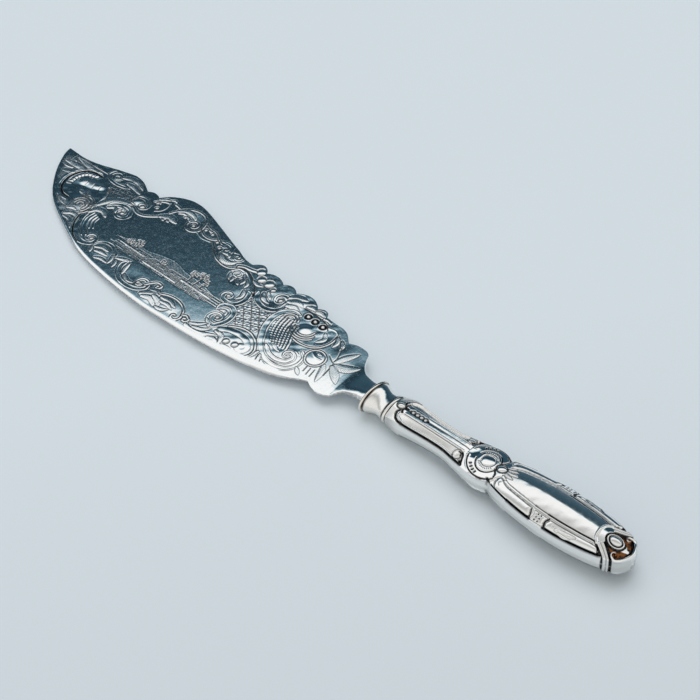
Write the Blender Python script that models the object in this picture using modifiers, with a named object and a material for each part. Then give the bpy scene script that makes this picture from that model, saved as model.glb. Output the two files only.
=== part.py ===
"""Fish slice: engraved scroll-edged blade, oval collar and a die-struck hollow handle.

Lengths are in metres. The piece is modelled straight, with the handle's axis on X and the
blade's middle plane on Z = 0, under one empty that lays it on the table.
"""
import math

import bmesh
import bpy
import numpy as np
from mathutils import Matrix, Vector

MM = 0.001

# Clearance left at every soldered or cemented joint
JOINT_GAP = 0.3 * MM

# Blade
BLADE_LENGTH = 198.0 * MM
BLADE_WIDTH = 58.7 * MM
BLADE_THICKNESS = 1.2 * MM
EDGE_LAND = 0.5 * MM
BELLY_BEVEL = 2.6 * MM
SPINE_BEVEL = 0.3 * MM
OUTLINE_STEPS = 3
LOBE_STEPS = 8

# Forged neck between blade and collar
NECK_WIDTH = 11.0 * MM
NECK_THICKNESS = 5.4 * MM
NECK_BURIED = 22.0 * MM
NECK_INSIDE = 4.0 * MM
NECK_POINTS = 24

# Collar: front rim plate, flared ferrule, bead ring
RIM_FRONT = 1.0 * MM
RIM_THICKNESS = 1.2 * MM
RIM_WIDTH = 16.8 * MM
RIM_DEPTH = 10.0 * MM
RIM_ROUND = 0.35 * MM
COLLAR_LENGTH = 8.4 * MM
COLLAR_MOUTH = 15.4 * MM
COLLAR_WAIST = 11.9 * MM
COLLAR_TAIL = 13.1 * MM
COLLAR_FLATNESS = 0.64
COLLAR_WALL = 0.9 * MM
RING_WIRE = 1.5 * MM
RING_WIDTH = 14.0 * MM
RING_DEPTH = 9.8 * MM
TURNED_STEPS = 32

# Die-struck handle
HANDLE_LENGTH = 109.8 * MM
HANDLE_WIDTH = 21.9 * MM
HANDLE_DEPTH = 14.2 * MM
HANDLE_WALL = 1.1 * MM
CROWN_POWER = 1.6
STRAP_RISE = 0.35 * MM
STRAP_SPAN = (0.888, 0.916)
CORE_END = 0.966
BODY_STATIONS = 40
ARCH_POINTS = 8

# Sunk fields and raised bosses of the struck pattern, as shares of the handle's length
POCKET_DEPTH = 0.5 * MM
POCKET_LIP = 0.5 * MM
RIB_HALF = 1.65 * MM
CHANNEL_SPAN = (0.036, 0.318)
FRONT_PANEL_SPAN = (0.478, 0.645)
REAR_PANEL_SPAN = (0.702, 0.876)
POCKET_STATIONS = 14
TERMINAL_SPAN = (0.922, 0.982)
TERMINAL_HALF = 4.6 * MM
TERMINAL_DEPTH = 0.8 * MM
MEDALLION_AT = 0.407
MEDALLION_SIZE = (14.0 * MM, 15.4 * MM, 5.3 * MM)
MEDALLION_FOOT = 2.6 * MM
BOSS_SIZE = (7.0 * MM, 8.6 * MM, 3.2 * MM)
BOSS_FOOT = 3.9 * MM
CABOCHON_AT = 0.932
CABOCHON_SIZE = (6.4 * MM, 4.6 * MM, 4.0 * MM)
CABOCHON_FOOT = 3.5 * MM

# Tang inside the handle's filling
TANG_LENGTH = 84.0 * MM
TANG_ROOT = 4.2 * MM
TANG_POINT = 2.0 * MM

# Blade outline: percent of the length back from the collar, percent of the width off the axis
TIP_SPINE = (
    (100.0, 40.9), (97.7, 40.4), (95.3, 40.0), (92.8, 40.9), (90.3, 42.9), (87.8, 45.7),
    (85.3, 48.2), (82.8, 50.4), (81.4, 51.1), (79.3, 49.9), (77.8, 47.7), (76.2, 44.5),
)
SMALL_LOBE = ((76.2, 44.5, 1.1 * MM), (72.8, 45.1, 0.0))
HUMP_SPINE = (
    (72.8, 45.1), (71.4, 50.8), (69.4, 55.2), (67.4, 57.9), (65.4, 58.9), (63.4, 58.6),
    (60.4, 56.2), (55.4, 50.8), (50.4, 45.1), (47.8, 42.4), (45.3, 39.2), (43.3, 38.2), (42.7, 38.7),
)
LOBE_ROW = (
    (42.7, 38.7, 2.5 * MM), (38.7, 38.7, 1.55 * MM), (33.9, 37.8, 1.65 * MM),
    (30.1, 37.3, 2.75 * MM), (23.7, 35.8, 1.95 * MM), (20.5, 33.6, 0.0),
)
HEEL_SPINE = ((20.5, 33.6), (18.2, 33.0), (16.2, 32.9), (14.7, 31.5), (13.7, 29.1), (12.4, 25.2))
SHOULDER_SPINE = (
    (12.4, 25.2), (11.0, 27.0), (9.6, 27.6), (8.1, 27.1), (7.1, 24.7), (6.6, 21.3),
    (5.6, 15.7), (4.5, 12.1), (3.5, 10.2), (1.5, 8.6),
)
SHOULDER_BELLY = (
    (1.5, -8.0), (3.5, -9.2), (4.5, -10.9), (5.3, -14.5), (6.0, -18.6), (7.3, -20.6),
    (8.5, -21.1), (10.0, -20.3), (11.6, -17.9),
)
BELLY = (
    (11.6, -17.9), (13.5, -20.5), (15.1, -23.6), (17.5, -27.6), (20.1, -30.6), (25.1, -34.2),
    (30.1, -36.6), (35.1, -38.5), (40.1, -39.7), (45.1, -40.5), (50.1, -41.1), (55.2, -40.5),
    (60.2, -39.1), (65.2, -37.0), (70.2, -34.1), (75.2, -29.5), (80.2, -22.6), (85.2, -14.9),
    (87.7, -10.6), (90.2, -5.3), (92.7, 2.0), (95.2, 11.3), (97.0, 19.3), (98.5, 27.6),
    (99.5, 34.4), (100.0, 40.9),
)

# Neck: percent of the blade's length, share of the neck's width, share of its thickness
NECK_STATIONS = (
    (-9.0, 0.82, 0.24), (-6.5, 0.86, 0.40), (-4.5, 0.91, 0.62), (-2.3, 0.96, 0.85), (0.0, 1.0, 0.98),
)

# Handle: share of the length, half width over half the handle's width, then the crest's and the
# side band's height over half its depth
HANDLE_STATIONS = (
    (0.000, 0.566, 0.648, 0.240), (0.018, 0.598, 0.669, 0.370), (0.046, 0.616, 0.676, 0.430),
    (0.109, 0.580, 0.697, 0.380), (0.155, 0.543, 0.711, 0.352), (0.209, 0.521, 0.718, 0.332),
    (0.255, 0.539, 0.711, 0.332), (0.291, 0.603, 0.697, 0.345), (0.337, 0.685, 0.676, 0.380),
    (0.383, 0.744, 0.655, 0.401), (0.410, 0.740, 0.648, 0.408), (0.435, 0.685, 0.655, 0.437),
    (0.453, 0.626, 0.669, 0.465), (0.470, 0.685, 0.704, 0.458), (0.519, 0.813, 0.817, 0.437),
    (0.574, 0.904, 0.915, 0.413), (0.638, 0.973, 0.986, 0.394), (0.701, 1.000, 1.000, 0.390),
    (0.765, 0.986, 0.986, 0.401), (0.829, 0.922, 0.944, 0.430), (0.883, 0.831, 0.880, 0.451),
    (0.920, 0.735, 0.775, 0.451), (0.956, 0.607, 0.634, 0.444), (0.976, 0.484, 0.556, 0.437),
    (0.989, 0.338, 0.493, 0.430), (0.996, 0.201, 0.451, 0.423), (1.000, 0.100, 0.437, 0.416),
)

# Smooth spindle field between the two rows of side panels: share of the length, half width
SPINDLE = (
    (0.478, 1.2 * MM), (0.516, 3.6 * MM), (0.553, 4.5 * MM), (0.598, 5.2 * MM), (0.643, 5.75 * MM),
    (0.735, 6.0 * MM), (0.826, 5.4 * MM), (0.876, 4.85 * MM),
)

# Places that follow from the sizes above
RIM_BACK = RIM_FRONT + RIM_THICKNESS
COLLAR_START = RIM_BACK + JOINT_GAP
RING_CENTRE = COLLAR_START + COLLAR_LENGTH + JOINT_GAP + RING_WIRE / 2
HANDLE_START = RING_CENTRE + RING_WIRE / 2 + JOINT_GAP
TANG_START = NECK_INSIDE + JOINT_GAP


def clear_scene():
    """Take every object out of the file the script starts in."""
    for item in list(bpy.data.objects):
        bpy.data.objects.remove(item, do_unlink=True)


def new_collection(name):
    """Make a collection and link it to the scene."""
    group = bpy.data.collections.new(name)
    bpy.context.scene.collection.children.link(group)
    return group


def metal(name, colour, roughness, metallic=1.0):
    """A Principled material with a colour, a roughness and a metallic value."""
    finish = bpy.data.materials.new(name)
    finish.use_nodes = True
    shader = finish.node_tree.nodes["Principled BSDF"]
    shader.inputs["Base Color"].default_value = (*colour, 1.0)
    shader.inputs["Roughness"].default_value = roughness
    shader.inputs["Metallic"].default_value = metallic
    return finish


def add_object(name, mesh, group, root, at=0.0):
    """Put a mesh in a collection, on the axis at a distance from the collar's front."""
    item = bpy.data.objects.new(name, mesh)
    group.objects.link(item)
    item.parent = root
    item.location = (at, 0.0, 0.0)
    return item


def as_cutter(item):
    """Show a cutting body as wires and keep it out of renders."""
    item.display_type = "WIRE"
    item.hide_render = True
    return item


def boolean(target, other, operation):
    """Add one exact Boolean to a piece."""
    step = target.modifiers.new(f"{operation.lower()}_{other.name}", "BOOLEAN")
    step.operation = operation
    step.solver = "EXACT"
    step.object = other


def evaluated_mesh(item):
    """The mesh an object has once its modifiers have run."""
    graph = bpy.context.evaluated_depsgraph_get()
    return bpy.data.meshes.new_from_object(item.evaluated_get(graph))


def smooth(table, along):
    """Cubic interpolation of every column after the first at one place or many."""
    rows = np.array(table, dtype=float)
    knots = rows[:, 0]
    values = rows[:, 1:]
    slopes = np.gradient(values, knots, axis=0)
    place = np.clip(np.atleast_1d(along), knots[0], knots[-1])
    left = np.clip(np.searchsorted(knots, place, side="right") - 1, 0, len(knots) - 2)
    span = (knots[left + 1] - knots[left])[:, None]
    s = (place - knots[left])[:, None] / span
    start = values[left] * (2 * s**3 - 3 * s**2 + 1) + slopes[left] * span * (s**3 - 2 * s**2 + s)
    end = values[left + 1] * (3 * s**2 - 2 * s**3) + slopes[left + 1] * span * (s**3 - s**2)
    return start + end


def loft(name, rings):
    """Skin a list of rings with the same number of points and cap both ends."""
    count = len(rings[0])
    points = [Vector(point) for ring in rings for point in ring]
    faces = [tuple(range(count)), tuple(range(len(points) - count, len(points)))]
    for row in range(len(rings) - 1):
        for k in range(count):
            a = row * count + k
            b = row * count + (k + 1) % count
            faces.append((a, b, b + count, a + count))
    mesh = bpy.data.meshes.new(name)
    mesh.from_pydata(points, [], faces)
    shape = bmesh.new()
    shape.from_mesh(mesh)
    bmesh.ops.recalc_face_normals(shape, faces=shape.faces)
    shape.to_mesh(mesh)
    shape.free()
    return mesh


def to_blade(rows):
    """Turn percent rows into points on the blade's plane."""
    rows = np.array(rows, dtype=float)[:, :2] / 100.0
    return np.column_stack([-rows[:, 0] * BLADE_LENGTH, rows[:, 1] * BLADE_WIDTH])


def flowing(rows):
    """Points of a smooth curve through the rows, without its last point."""
    corners = to_blade(rows)
    number = np.arange(len(corners), dtype=float)
    steps = np.arange(0, (len(corners) - 1) * OUTLINE_STEPS) / OUTLINE_STEPS
    return smooth(np.column_stack([number, corners]), steps)


def lobes(rows):
    """Points of a row of arcs between notches, each rising by its own amount."""
    corners = to_blade(rows)
    turn = np.arange(LOBE_STEPS) / LOBE_STEPS
    arcs = []
    for start, end, row in zip(corners[:-1], corners[1:], rows[:-1]):
        chord = end - start
        normal = np.array([-chord[1], chord[0]]) / np.hypot(*chord)
        rise = np.sin(math.pi * turn) ** 0.8 * row[2]
        arcs.append(start + turn[:, None] * chord + rise[:, None] * normal)
    return np.concatenate(arcs)


def blade_outline():
    """The blade's edge from the neck along the spine to the tip and back along the belly.

    Returns the points and the width of the bevel at each of them.
    """
    spine = [flowing(TIP_SPINE), lobes(SMALL_LOBE), flowing(HUMP_SPINE), lobes(LOBE_ROW)]
    spine += [flowing(HEEL_SPINE), flowing(SHOULDER_SPINE), to_blade(SHOULDER_SPINE[-1:])]
    spine = np.concatenate(spine)[:0:-1]
    belly = np.concatenate([flowing(SHOULDER_BELLY), flowing(BELLY), to_blade(BELLY[-1:])])
    points = np.concatenate([spine, belly[::-1]])
    share = -points[:, 0] / BLADE_LENGTH
    fade = np.clip(np.minimum((share - 0.14) / 0.06, (0.985 - share) / 0.06), 0.0, 1.0)
    on_belly = np.arange(len(points)) >= len(spine)
    bevel = SPINE_BEVEL + on_belly * (BELLY_BEVEL - SPINE_BEVEL) * fade * fade * (3 - 2 * fade)
    return points, bevel


def inset(points, distance):
    """Move a closed outline inwards by a distance given at each of its points."""
    before = np.roll(points, 1, axis=0)
    after = np.roll(points, -1, axis=0)
    first = (points - before) / np.linalg.norm(points - before, axis=1)[:, None]
    second = (after - points) / np.linalg.norm(after - points, axis=1)[:, None]
    normal = np.column_stack([-(first + second)[:, 1], (first + second)[:, 0]])
    normal /= np.linalg.norm(normal, axis=1)[:, None]
    return points + normal * np.asarray(distance)[:, None]


def level(points, height):
    """Lift plane points to a height."""
    return np.column_stack([points, np.full(len(points), height)])


def blade_sheet():
    """The flat sheet: a narrow chamfer below, a land at the edge, the bevel above."""
    points, bevel = blade_outline()
    half = BLADE_THICKNESS / 2
    chamfer = np.full(len(points), SPINE_BEVEL)
    rings = [
        level(inset(points, chamfer), -half),
        level(points, -half + SPINE_BEVEL),
        level(points, -half + SPINE_BEVEL + EDGE_LAND),
        level(inset(points, bevel), half),
    ]
    return loft("blade", rings)


def neck_ring(at, half_width, half_depth):
    """One soft-cornered section of the neck."""
    turn = np.arange(NECK_POINTS) * 2 * math.pi / NECK_POINTS
    cosine = np.cos(turn)
    sine = np.sin(turn)
    across = half_width * np.sign(cosine) * np.abs(cosine) ** 0.7
    height = half_depth * np.sign(sine) * np.abs(sine) ** 0.7
    return np.column_stack([np.full(NECK_POINTS, at), across, height])


def neck_body(name, spread=0.0, reach=0.0):
    """The neck from inside the sheet, through the rim plate, into the collar."""
    buried = (-NECK_BURIED, NECK_WIDTH * 0.38, BLADE_THICKNESS * 0.3)
    rings = [neck_ring(buried[0], buried[1] + spread, buried[2] + spread)]
    for percent, wide, thick in NECK_STATIONS:
        half_width = NECK_WIDTH / 2 * wide + spread
        half_depth = NECK_THICKNESS / 2 * thick + spread
        rings.append(neck_ring(percent / 100.0 * BLADE_LENGTH, half_width, half_depth))
    rings.append(neck_ring(NECK_INSIDE + reach, NECK_WIDTH / 2 + spread, NECK_THICKNESS / 2 + spread))
    return loft(name, rings)


def turned_oval(name, profile, depth_share):
    """Turn a closed or axis-to-axis profile about X, then flatten it to an oval.

    The profile's points are (radius, distance along the axis).
    """
    mesh = bpy.data.meshes.new(name)
    points = [(radius, 0.0, along) for radius, along in profile]
    closed = profile[0][0] > 0.0
    edges = [(k, k + 1) for k in range(len(points) - 1)]
    if closed:
        edges.append((len(points) - 1, 0))
    mesh.from_pydata(points, edges, [])
    blank = bpy.data.objects.new(name, mesh)
    bpy.context.scene.collection.objects.link(blank)
    turn = blank.modifiers.new("turn", "SCREW")
    turn.axis = "Z"
    turn.steps = TURNED_STEPS
    turn.render_steps = TURNED_STEPS
    turn.use_merge_vertices = True
    turn.merge_threshold = 0.00001
    turned = evaluated_mesh(blank)
    bpy.data.objects.remove(blank, do_unlink=True)
    turned.transform(Matrix.Diagonal((depth_share, 1.0, 1.0, 1.0)))
    turned.transform(Matrix.Rotation(math.pi / 2, 4, "Y"))
    shape = bmesh.new()
    shape.from_mesh(turned)
    bmesh.ops.remove_doubles(shape, verts=shape.verts, dist=0.000005)
    bmesh.ops.recalc_face_normals(shape, faces=shape.faces)
    shape.to_mesh(turned)
    shape.free()
    return turned


def rim_profile():
    """Half section of the front rim plate, its edge rounded."""
    edge = RIM_WIDTH / 2
    corner = [(0.0, RIM_THICKNESS)]
    for k in range(5):
        turn = math.pi / 2 * k / 4
        across = edge - RIM_ROUND + RIM_ROUND * math.sin(turn)
        corner.append((across, RIM_THICKNESS - RIM_ROUND + RIM_ROUND * math.cos(turn)))
    for k in range(5):
        turn = math.pi / 2 * k / 4
        across = edge - RIM_ROUND + RIM_ROUND * math.cos(turn)
        corner.append((across, RIM_ROUND - RIM_ROUND * math.sin(turn)))
    corner.append((0.0, 0.0))
    return corner


COLLAR_CURVE = (
    (0.00, COLLAR_MOUTH / 2), (0.09, COLLAR_MOUTH / 2 - 0.25 * MM), (0.26, COLLAR_WAIST / 2 + 0.9 * MM),
    (0.43, COLLAR_WAIST / 2 + 0.28 * MM), (0.60, COLLAR_WAIST / 2), (0.78, COLLAR_WAIST / 2 + 0.12 * MM),
    (1.00, COLLAR_TAIL / 2),
)


def collar_radius(share):
    """Half width of the ferrule at a share of its length."""
    return float(smooth(COLLAR_CURVE, share)[0, 0])


def collar_profile():
    """Closed section of the ferrule's wall: outside from the back, inside from the front."""
    shares = np.linspace(0.0, 1.0, 9)
    outside = [(collar_radius(share), share * COLLAR_LENGTH) for share in shares[::-1]]
    inside = [(collar_radius(share) - COLLAR_WALL, share * COLLAR_LENGTH) for share in shares]
    return outside + inside


def bead_ring():
    """Oval of round wire between the ferrule and the handle."""
    path = bpy.data.curves.new("seam_ring", "CURVE")
    path.dimensions = "3D"
    path.bevel_depth = RING_WIRE / 2
    path.bevel_resolution = 2
    path.use_fill_caps = True
    line = path.splines.new("POLY")
    line.points.add(TURNED_STEPS - 1)
    for k, point in enumerate(line.points):
        turn = 2 * math.pi * k / TURNED_STEPS
        across = (RING_WIDTH - RING_WIRE) / 2 * math.cos(turn)
        height = (RING_DEPTH - RING_WIRE) / 2 * math.sin(turn)
        point.co = (0.0, across, height, 1.0)
    line.use_cyclic_u = True
    wire = bpy.data.objects.new("seam_ring_wire", path)
    bpy.context.scene.collection.objects.link(wire)
    mesh = evaluated_mesh(wire)
    bpy.data.objects.remove(wire, do_unlink=True)
    return mesh


def handle_size(share):
    """Half width, crest height and side band height at a share of the handle's length."""
    wide, crest, band = smooth(HANDLE_STATIONS, share)[0]
    return wide * HANDLE_WIDTH / 2, crest * HANDLE_DEPTH / 2, band * HANDLE_DEPTH / 2


def crown(across, half, crest, band):
    """Height of the handle's upper face at a distance off its axis."""
    return band + (crest - band) * (1.0 - np.abs(across / half) ** CROWN_POWER)


def arch(share, sunk, foot):
    """Upper half of one section: up one side band, over the crown, down the other band."""
    half, crest, band = handle_size(share)
    half = half - sunk
    crest = crest - sunk
    band = min(band - sunk * 0.6, crest - 0.2 * MM)
    across = half * np.sin(np.linspace(math.pi / 2, -math.pi / 2, 2 * ARCH_POINTS + 1))
    height = crown(across, half, crest, band)
    across = np.concatenate([[half], across, [-half]])
    height = np.concatenate([[foot], height, [foot]])
    return np.column_stack([np.full(len(across), share * HANDLE_LENGTH), across, height])


def body_shares():
    """Shares of the length where the handle is cut into sections, with the strap's edges."""
    even = 1.0 - (1.0 - np.linspace(0.0, 1.0, BODY_STATIONS)) ** 1.3
    strap = [STRAP_SPAN[0], STRAP_SPAN[0] + 0.002, STRAP_SPAN[1] - 0.002, STRAP_SPAN[1]]
    inside = (even > STRAP_SPAN[0]) & (even < STRAP_SPAN[1])
    return np.sort(np.concatenate([even[~inside], strap]))


def half_body():
    """Solid upper half of the handle down to the seam, with the raised strap."""
    rings = []
    for share in body_shares():
        on_strap = STRAP_SPAN[0] + 0.001 < share < STRAP_SPAN[1] - 0.001
        rings.append(arch(share, -STRAP_RISE if on_strap else 0.0, JOINT_GAP / 2))
    return loft("handle_upper_shell", rings)


def core_shares():
    """Shares of the length where the hollow is cut into sections: the handle's own stations."""
    stations = [row[0] for row in HANDLE_STATIONS if row[0] < CORE_END - 0.004]
    return stations + [CORE_END]


def half_core():
    """The hollow under the upper half, open in front and below."""
    rings = [arch(share, HANDLE_WALL, -HANDLE_WALL) for share in core_shares()]
    mouth = rings[0].copy()
    mouth[:, 0] -= HANDLE_WALL
    return loft("handle_core", [mouth] + rings)


def pocket(name, span, edges, depth):
    """A cutting body whose floor lies a set depth below the crown, its ends rounded.

    Args: a name, the span along the handle, a function giving the two side edges at a share
    of the length, and the depth.
    """
    turn = np.linspace(0.03, 0.97, POCKET_STATIONS) * math.pi
    shares = span[0] + (span[1] - span[0]) * (1.0 - np.cos(turn)) / 2
    rings = []
    for share in shares:
        inner, outer = edges(share)
        room = min(share - span[0], span[1] - share) * HANDLE_LENGTH
        corner = min(abs(outer - inner) / 2, 2.5 * MM)
        pinch = corner - math.sqrt(max(0.0, corner**2 - max(0.0, corner - room) ** 2))
        inner, outer = inner + math.copysign(pinch, outer - inner), outer - math.copysign(pinch, outer - inner)
        across = np.linspace(inner, outer, 5)
        half, crest, band = handle_size(share)
        floor = crown(across, half, crest, band) - depth
        across = np.append(across, [outer, inner])
        height = np.append(floor, [HANDLE_DEPTH, HANDLE_DEPTH])
        rings.append(np.column_stack([np.full(7, share * HANDLE_LENGTH), across, height]))
    return loft(name, rings)


def channel_edges(side):
    """Edges of the sunk channel beside the shaft's central rib."""
    return lambda share: (side * RIB_HALF, side * (handle_size(share)[0] - POCKET_LIP))


def panel_edges(side):
    """Edges of a side panel, from the spindle field's border to the side band's lip."""
    border = 0.8 * MM
    return lambda share: (
        side * (float(smooth(SPINDLE, share)[0, 0]) + border),
        side * (handle_size(share)[0] - POCKET_LIP),
    )


def terminal_edges(share):
    """Edges of the sunk shield on the butt, narrowing towards the end."""
    taper = (share - TERMINAL_SPAN[0]) / (TERMINAL_SPAN[1] - TERMINAL_SPAN[0])
    half = TERMINAL_HALF * (1.0 - 0.35 * taper**2)
    return -half, half


def dome(name, at, size, foot, group, root):
    """A flattened ball standing on a height above the axis."""
    bpy.ops.mesh.primitive_uv_sphere_add(segments=24, ring_count=12, radius=0.5)
    ball = bpy.context.object
    mesh = ball.data.copy()
    bpy.data.objects.remove(ball, do_unlink=True)
    mesh.transform(Matrix.Diagonal((size[0], size[1], size[2], 1.0)))
    item = add_object(name, mesh, group, root, HANDLE_START)
    item.location = (HANDLE_START + at * HANDLE_LENGTH, 0.0, foot)
    return as_cutter(item)


def upper_shell(parts, cutters, root):
    """Hollow upper half with its bosses added and its channels and panels sunk."""
    shell = add_object("handle_upper_shell", half_body(), parts, root, HANDLE_START)
    for name, at, size, foot in (
        ("medallion_form", MEDALLION_AT, MEDALLION_SIZE, MEDALLION_FOOT),
        ("boss_form", MEDALLION_AT, BOSS_SIZE, BOSS_FOOT),
    ):
        boolean(shell, dome(name, at, size, foot, cutters, root), "UNION")
    fields = [("terminal", TERMINAL_SPAN, terminal_edges, TERMINAL_DEPTH)]
    for side, label in ((1, "spine"), (-1, "belly")):
        fields.append((f"channel_{label}", CHANNEL_SPAN, channel_edges(side), POCKET_DEPTH))
        fields.append((f"front_panel_{label}", FRONT_PANEL_SPAN, panel_edges(side), POCKET_DEPTH))
        fields.append((f"rear_panel_{label}", REAR_PANEL_SPAN, panel_edges(side), POCKET_DEPTH))
    for name, span, edges, depth in fields:
        body = pocket(name, span, edges, depth)
        boolean(shell, as_cutter(add_object(name, body, cutters, root, HANDLE_START)), "DIFFERENCE")
    cabochon = dome("cabochon_form", CABOCHON_AT, CABOCHON_SIZE, CABOCHON_FOOT, cutters, root)
    boolean(shell, cabochon, "UNION")
    core = as_cutter(add_object("core", half_core(), cutters, root, HANDLE_START))
    boolean(shell, core, "DIFFERENCE")
    return shell


def lower_shell(upper, parts, root):
    """The other half, struck from a matching die and so the upper half's mirror image."""
    mesh = evaluated_mesh(upper)
    mesh.name = "handle_lower_shell"
    mesh.transform(Matrix.Diagonal((1.0, 1.0, -1.0, 1.0)))
    mesh.flip_normals()
    return add_object("handle_lower_shell", mesh, parts, root, HANDLE_START)


def tang_cone(name, spread):
    """Square spike tapering towards the butt, on the handle's axis."""
    diagonal = math.sqrt(2.0)
    bpy.ops.mesh.primitive_cone_add(
        vertices=4,
        radius1=(TANG_ROOT / 2 + spread) * diagonal,
        radius2=(TANG_POINT / 2 + spread) * diagonal,
        depth=TANG_LENGTH,
    )
    cone = bpy.context.object
    mesh = cone.data.copy()
    mesh.name = name
    bpy.data.objects.remove(cone, do_unlink=True)
    mesh.transform(Matrix.Rotation(math.pi / 4, 4, "Z"))
    mesh.transform(Matrix.Rotation(math.pi / 2, 4, "Y"))
    mesh.transform(Matrix.Translation((TANG_LENGTH / 2, 0.0, 0.0)))
    return mesh


def filler_body():
    """The filling: an oval plug in the collar and ring, then the hollow of both shells."""
    count = 2 * (ARCH_POINTS + 1) + 2
    turn = np.linspace(0.0, 2 * math.pi, count, endpoint=False)
    inside = COLLAR_WALL + JOINT_GAP
    throat = min((RING_WIDTH / 2 - RING_WIRE - JOINT_GAP), COLLAR_TAIL / 2 - inside)
    throat_depth = min(RING_DEPTH / 2 - RING_WIRE, COLLAR_TAIL / 2 * COLLAR_FLATNESS - COLLAR_WALL) - JOINT_GAP
    ovals = []
    for share in (0.30, 0.45, 0.60, 0.80):
        half = min(collar_radius(share) - inside, throat)
        depth = min((collar_radius(share) - COLLAR_WALL) * COLLAR_FLATNESS - JOINT_GAP, throat_depth)
        ovals.append((COLLAR_START + share * COLLAR_LENGTH, half, depth))
    first = handle_size(0.0)
    sunk = HANDLE_WALL + JOINT_GAP
    throat = min(throat, first[0] - sunk)
    throat_depth = min(throat_depth, first[1] - sunk - 0.15 * MM)
    ovals.append((RING_CENTRE, throat, throat_depth))
    ovals.append((HANDLE_START + JOINT_GAP, throat, throat_depth))
    rings = []
    for at, half, depth in ovals:
        rings.append(np.column_stack([np.full(count, at), half * np.cos(turn), depth * np.sin(turn)]))
    for share in core_shares()[1:-1]:
        top = arch(share, sunk, 0.0)[1:-1:2]
        under = top[::-1] * (1.0, 1.0, -1.0)
        seam = [[top[0, 0], top[0, 1], 0.0], [top[0, 0], -top[0, 1], 0.0]]
        ring = np.concatenate([[seam[0]], top, [seam[1]], under])
        ring[:, 0] += HANDLE_START
        rings.append(ring)
    return loft("handle_filler", rings)


def lay_down(root, pieces):
    """Tilt the assembly onto the blade's tip and the handle's belly, its base on Z = 0.

    The origin ends up under the middle of the assembly's bounding box.
    """
    shares = np.linspace(0.0, 1.0, 201)
    crest = np.array([handle_size(share)[1] for share in shares])
    reach = HANDLE_START + shares * HANDLE_LENGTH + BLADE_LENGTH
    slopes = (crest - BLADE_THICKNESS / 2) / reach
    root.rotation_euler = (0.0, -math.atan(slopes.max()), 0.0)
    bpy.context.view_layer.update()
    corners = []
    for piece in pieces:
        mesh = evaluated_mesh(piece)
        points = np.empty(len(mesh.vertices) * 3)
        mesh.vertices.foreach_get("co", points)
        matrix = np.array(piece.matrix_world)
        corners.append(points.reshape(-1, 3) @ matrix[:3, :3].T + matrix[:3, 3])
        bpy.data.meshes.remove(mesh)
    points = np.concatenate(corners)
    low = points.min(axis=0)
    high = points.max(axis=0)
    root.location = (-(low[0] + high[0]) / 2, -(low[1] + high[1]) / 2, -low[2])
    bpy.context.view_layer.update()


def main():
    """Build every piece, give it its material and lay the assembly on the table."""
    clear_scene()
    parts = new_collection("fish_slice")
    cutters = new_collection("cutters")
    root = bpy.data.objects.new("fish_slice_root", None)
    parts.objects.link(root)

    blade = add_object("blade", blade_sheet(), parts, root)
    neck = as_cutter(add_object("neck", neck_body("neck"), cutters, root))
    boolean(blade, neck, "UNION")

    rim_mesh = turned_oval("collar_rim", rim_profile(), RIM_DEPTH / RIM_WIDTH)
    rim = add_object("collar_rim", rim_mesh, parts, root, RIM_FRONT)
    opening = neck_body("neck_opening", JOINT_GAP, RIM_BACK)
    boolean(rim, as_cutter(add_object("neck_opening", opening, cutters, root)), "DIFFERENCE")

    collar_mesh = turned_oval("collar", collar_profile(), COLLAR_FLATNESS)
    collar = add_object("collar", collar_mesh, parts, root, COLLAR_START)
    ring = add_object("seam_ring", bead_ring(), parts, root, RING_CENTRE)

    upper = upper_shell(parts, cutters, root)
    bpy.context.view_layer.update()
    lower = lower_shell(upper, parts, root)

    tang = add_object("tang", tang_cone("tang", 0.0), parts, root, TANG_START)
    filler = add_object("handle_filler", filler_body(), parts, root)
    bore = as_cutter(add_object("tang_bore", tang_cone("tang_bore", JOINT_GAP), cutters, root, TANG_START))
    bore.scale = ((TANG_LENGTH + JOINT_GAP) / TANG_LENGTH, 1.0, 1.0)
    boolean(filler, bore, "DIFFERENCE")

    finishes = (
        (blade, metal("blade_silver", (0.78, 0.80, 0.82), 0.24)),
        (rim, metal("rim_silver", (0.86, 0.85, 0.82), 0.18)),
        (collar, metal("collar_silver", (0.87, 0.87, 0.86), 0.14)),
        (ring, metal("ring_silver", (0.84, 0.83, 0.80), 0.20)),
        (upper, metal("upper_shell_silver", (0.88, 0.88, 0.87), 0.16)),
        (lower, metal("lower_shell_silver", (0.87, 0.87, 0.86), 0.18)),
        (tang, metal("tang_steel", (0.42, 0.41, 0.40), 0.45)),
        (filler, metal("filler_pitch", (0.10, 0.07, 0.05), 0.80, 0.0)),
    )
    for piece, finish in finishes:
        piece.data.materials.clear()
        piece.data.materials.append(finish)
    lay_down(root, [piece for piece, _ in finishes])


main()
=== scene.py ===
"""Looks of the fish slice: engraved blade, oval collar and die-struck handle on a pale table.

Shapes are worked out in millimetres in the collar's own frame: X runs along the handle's axis away
from the blade, the collar starts near X = 0 and the blade's middle plane is Z = 0. They are laid on
the table, in metres, when they become meshes.
"""
import logging
import math
from dataclasses import dataclass, field
from enum import Enum
from functools import partial

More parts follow.
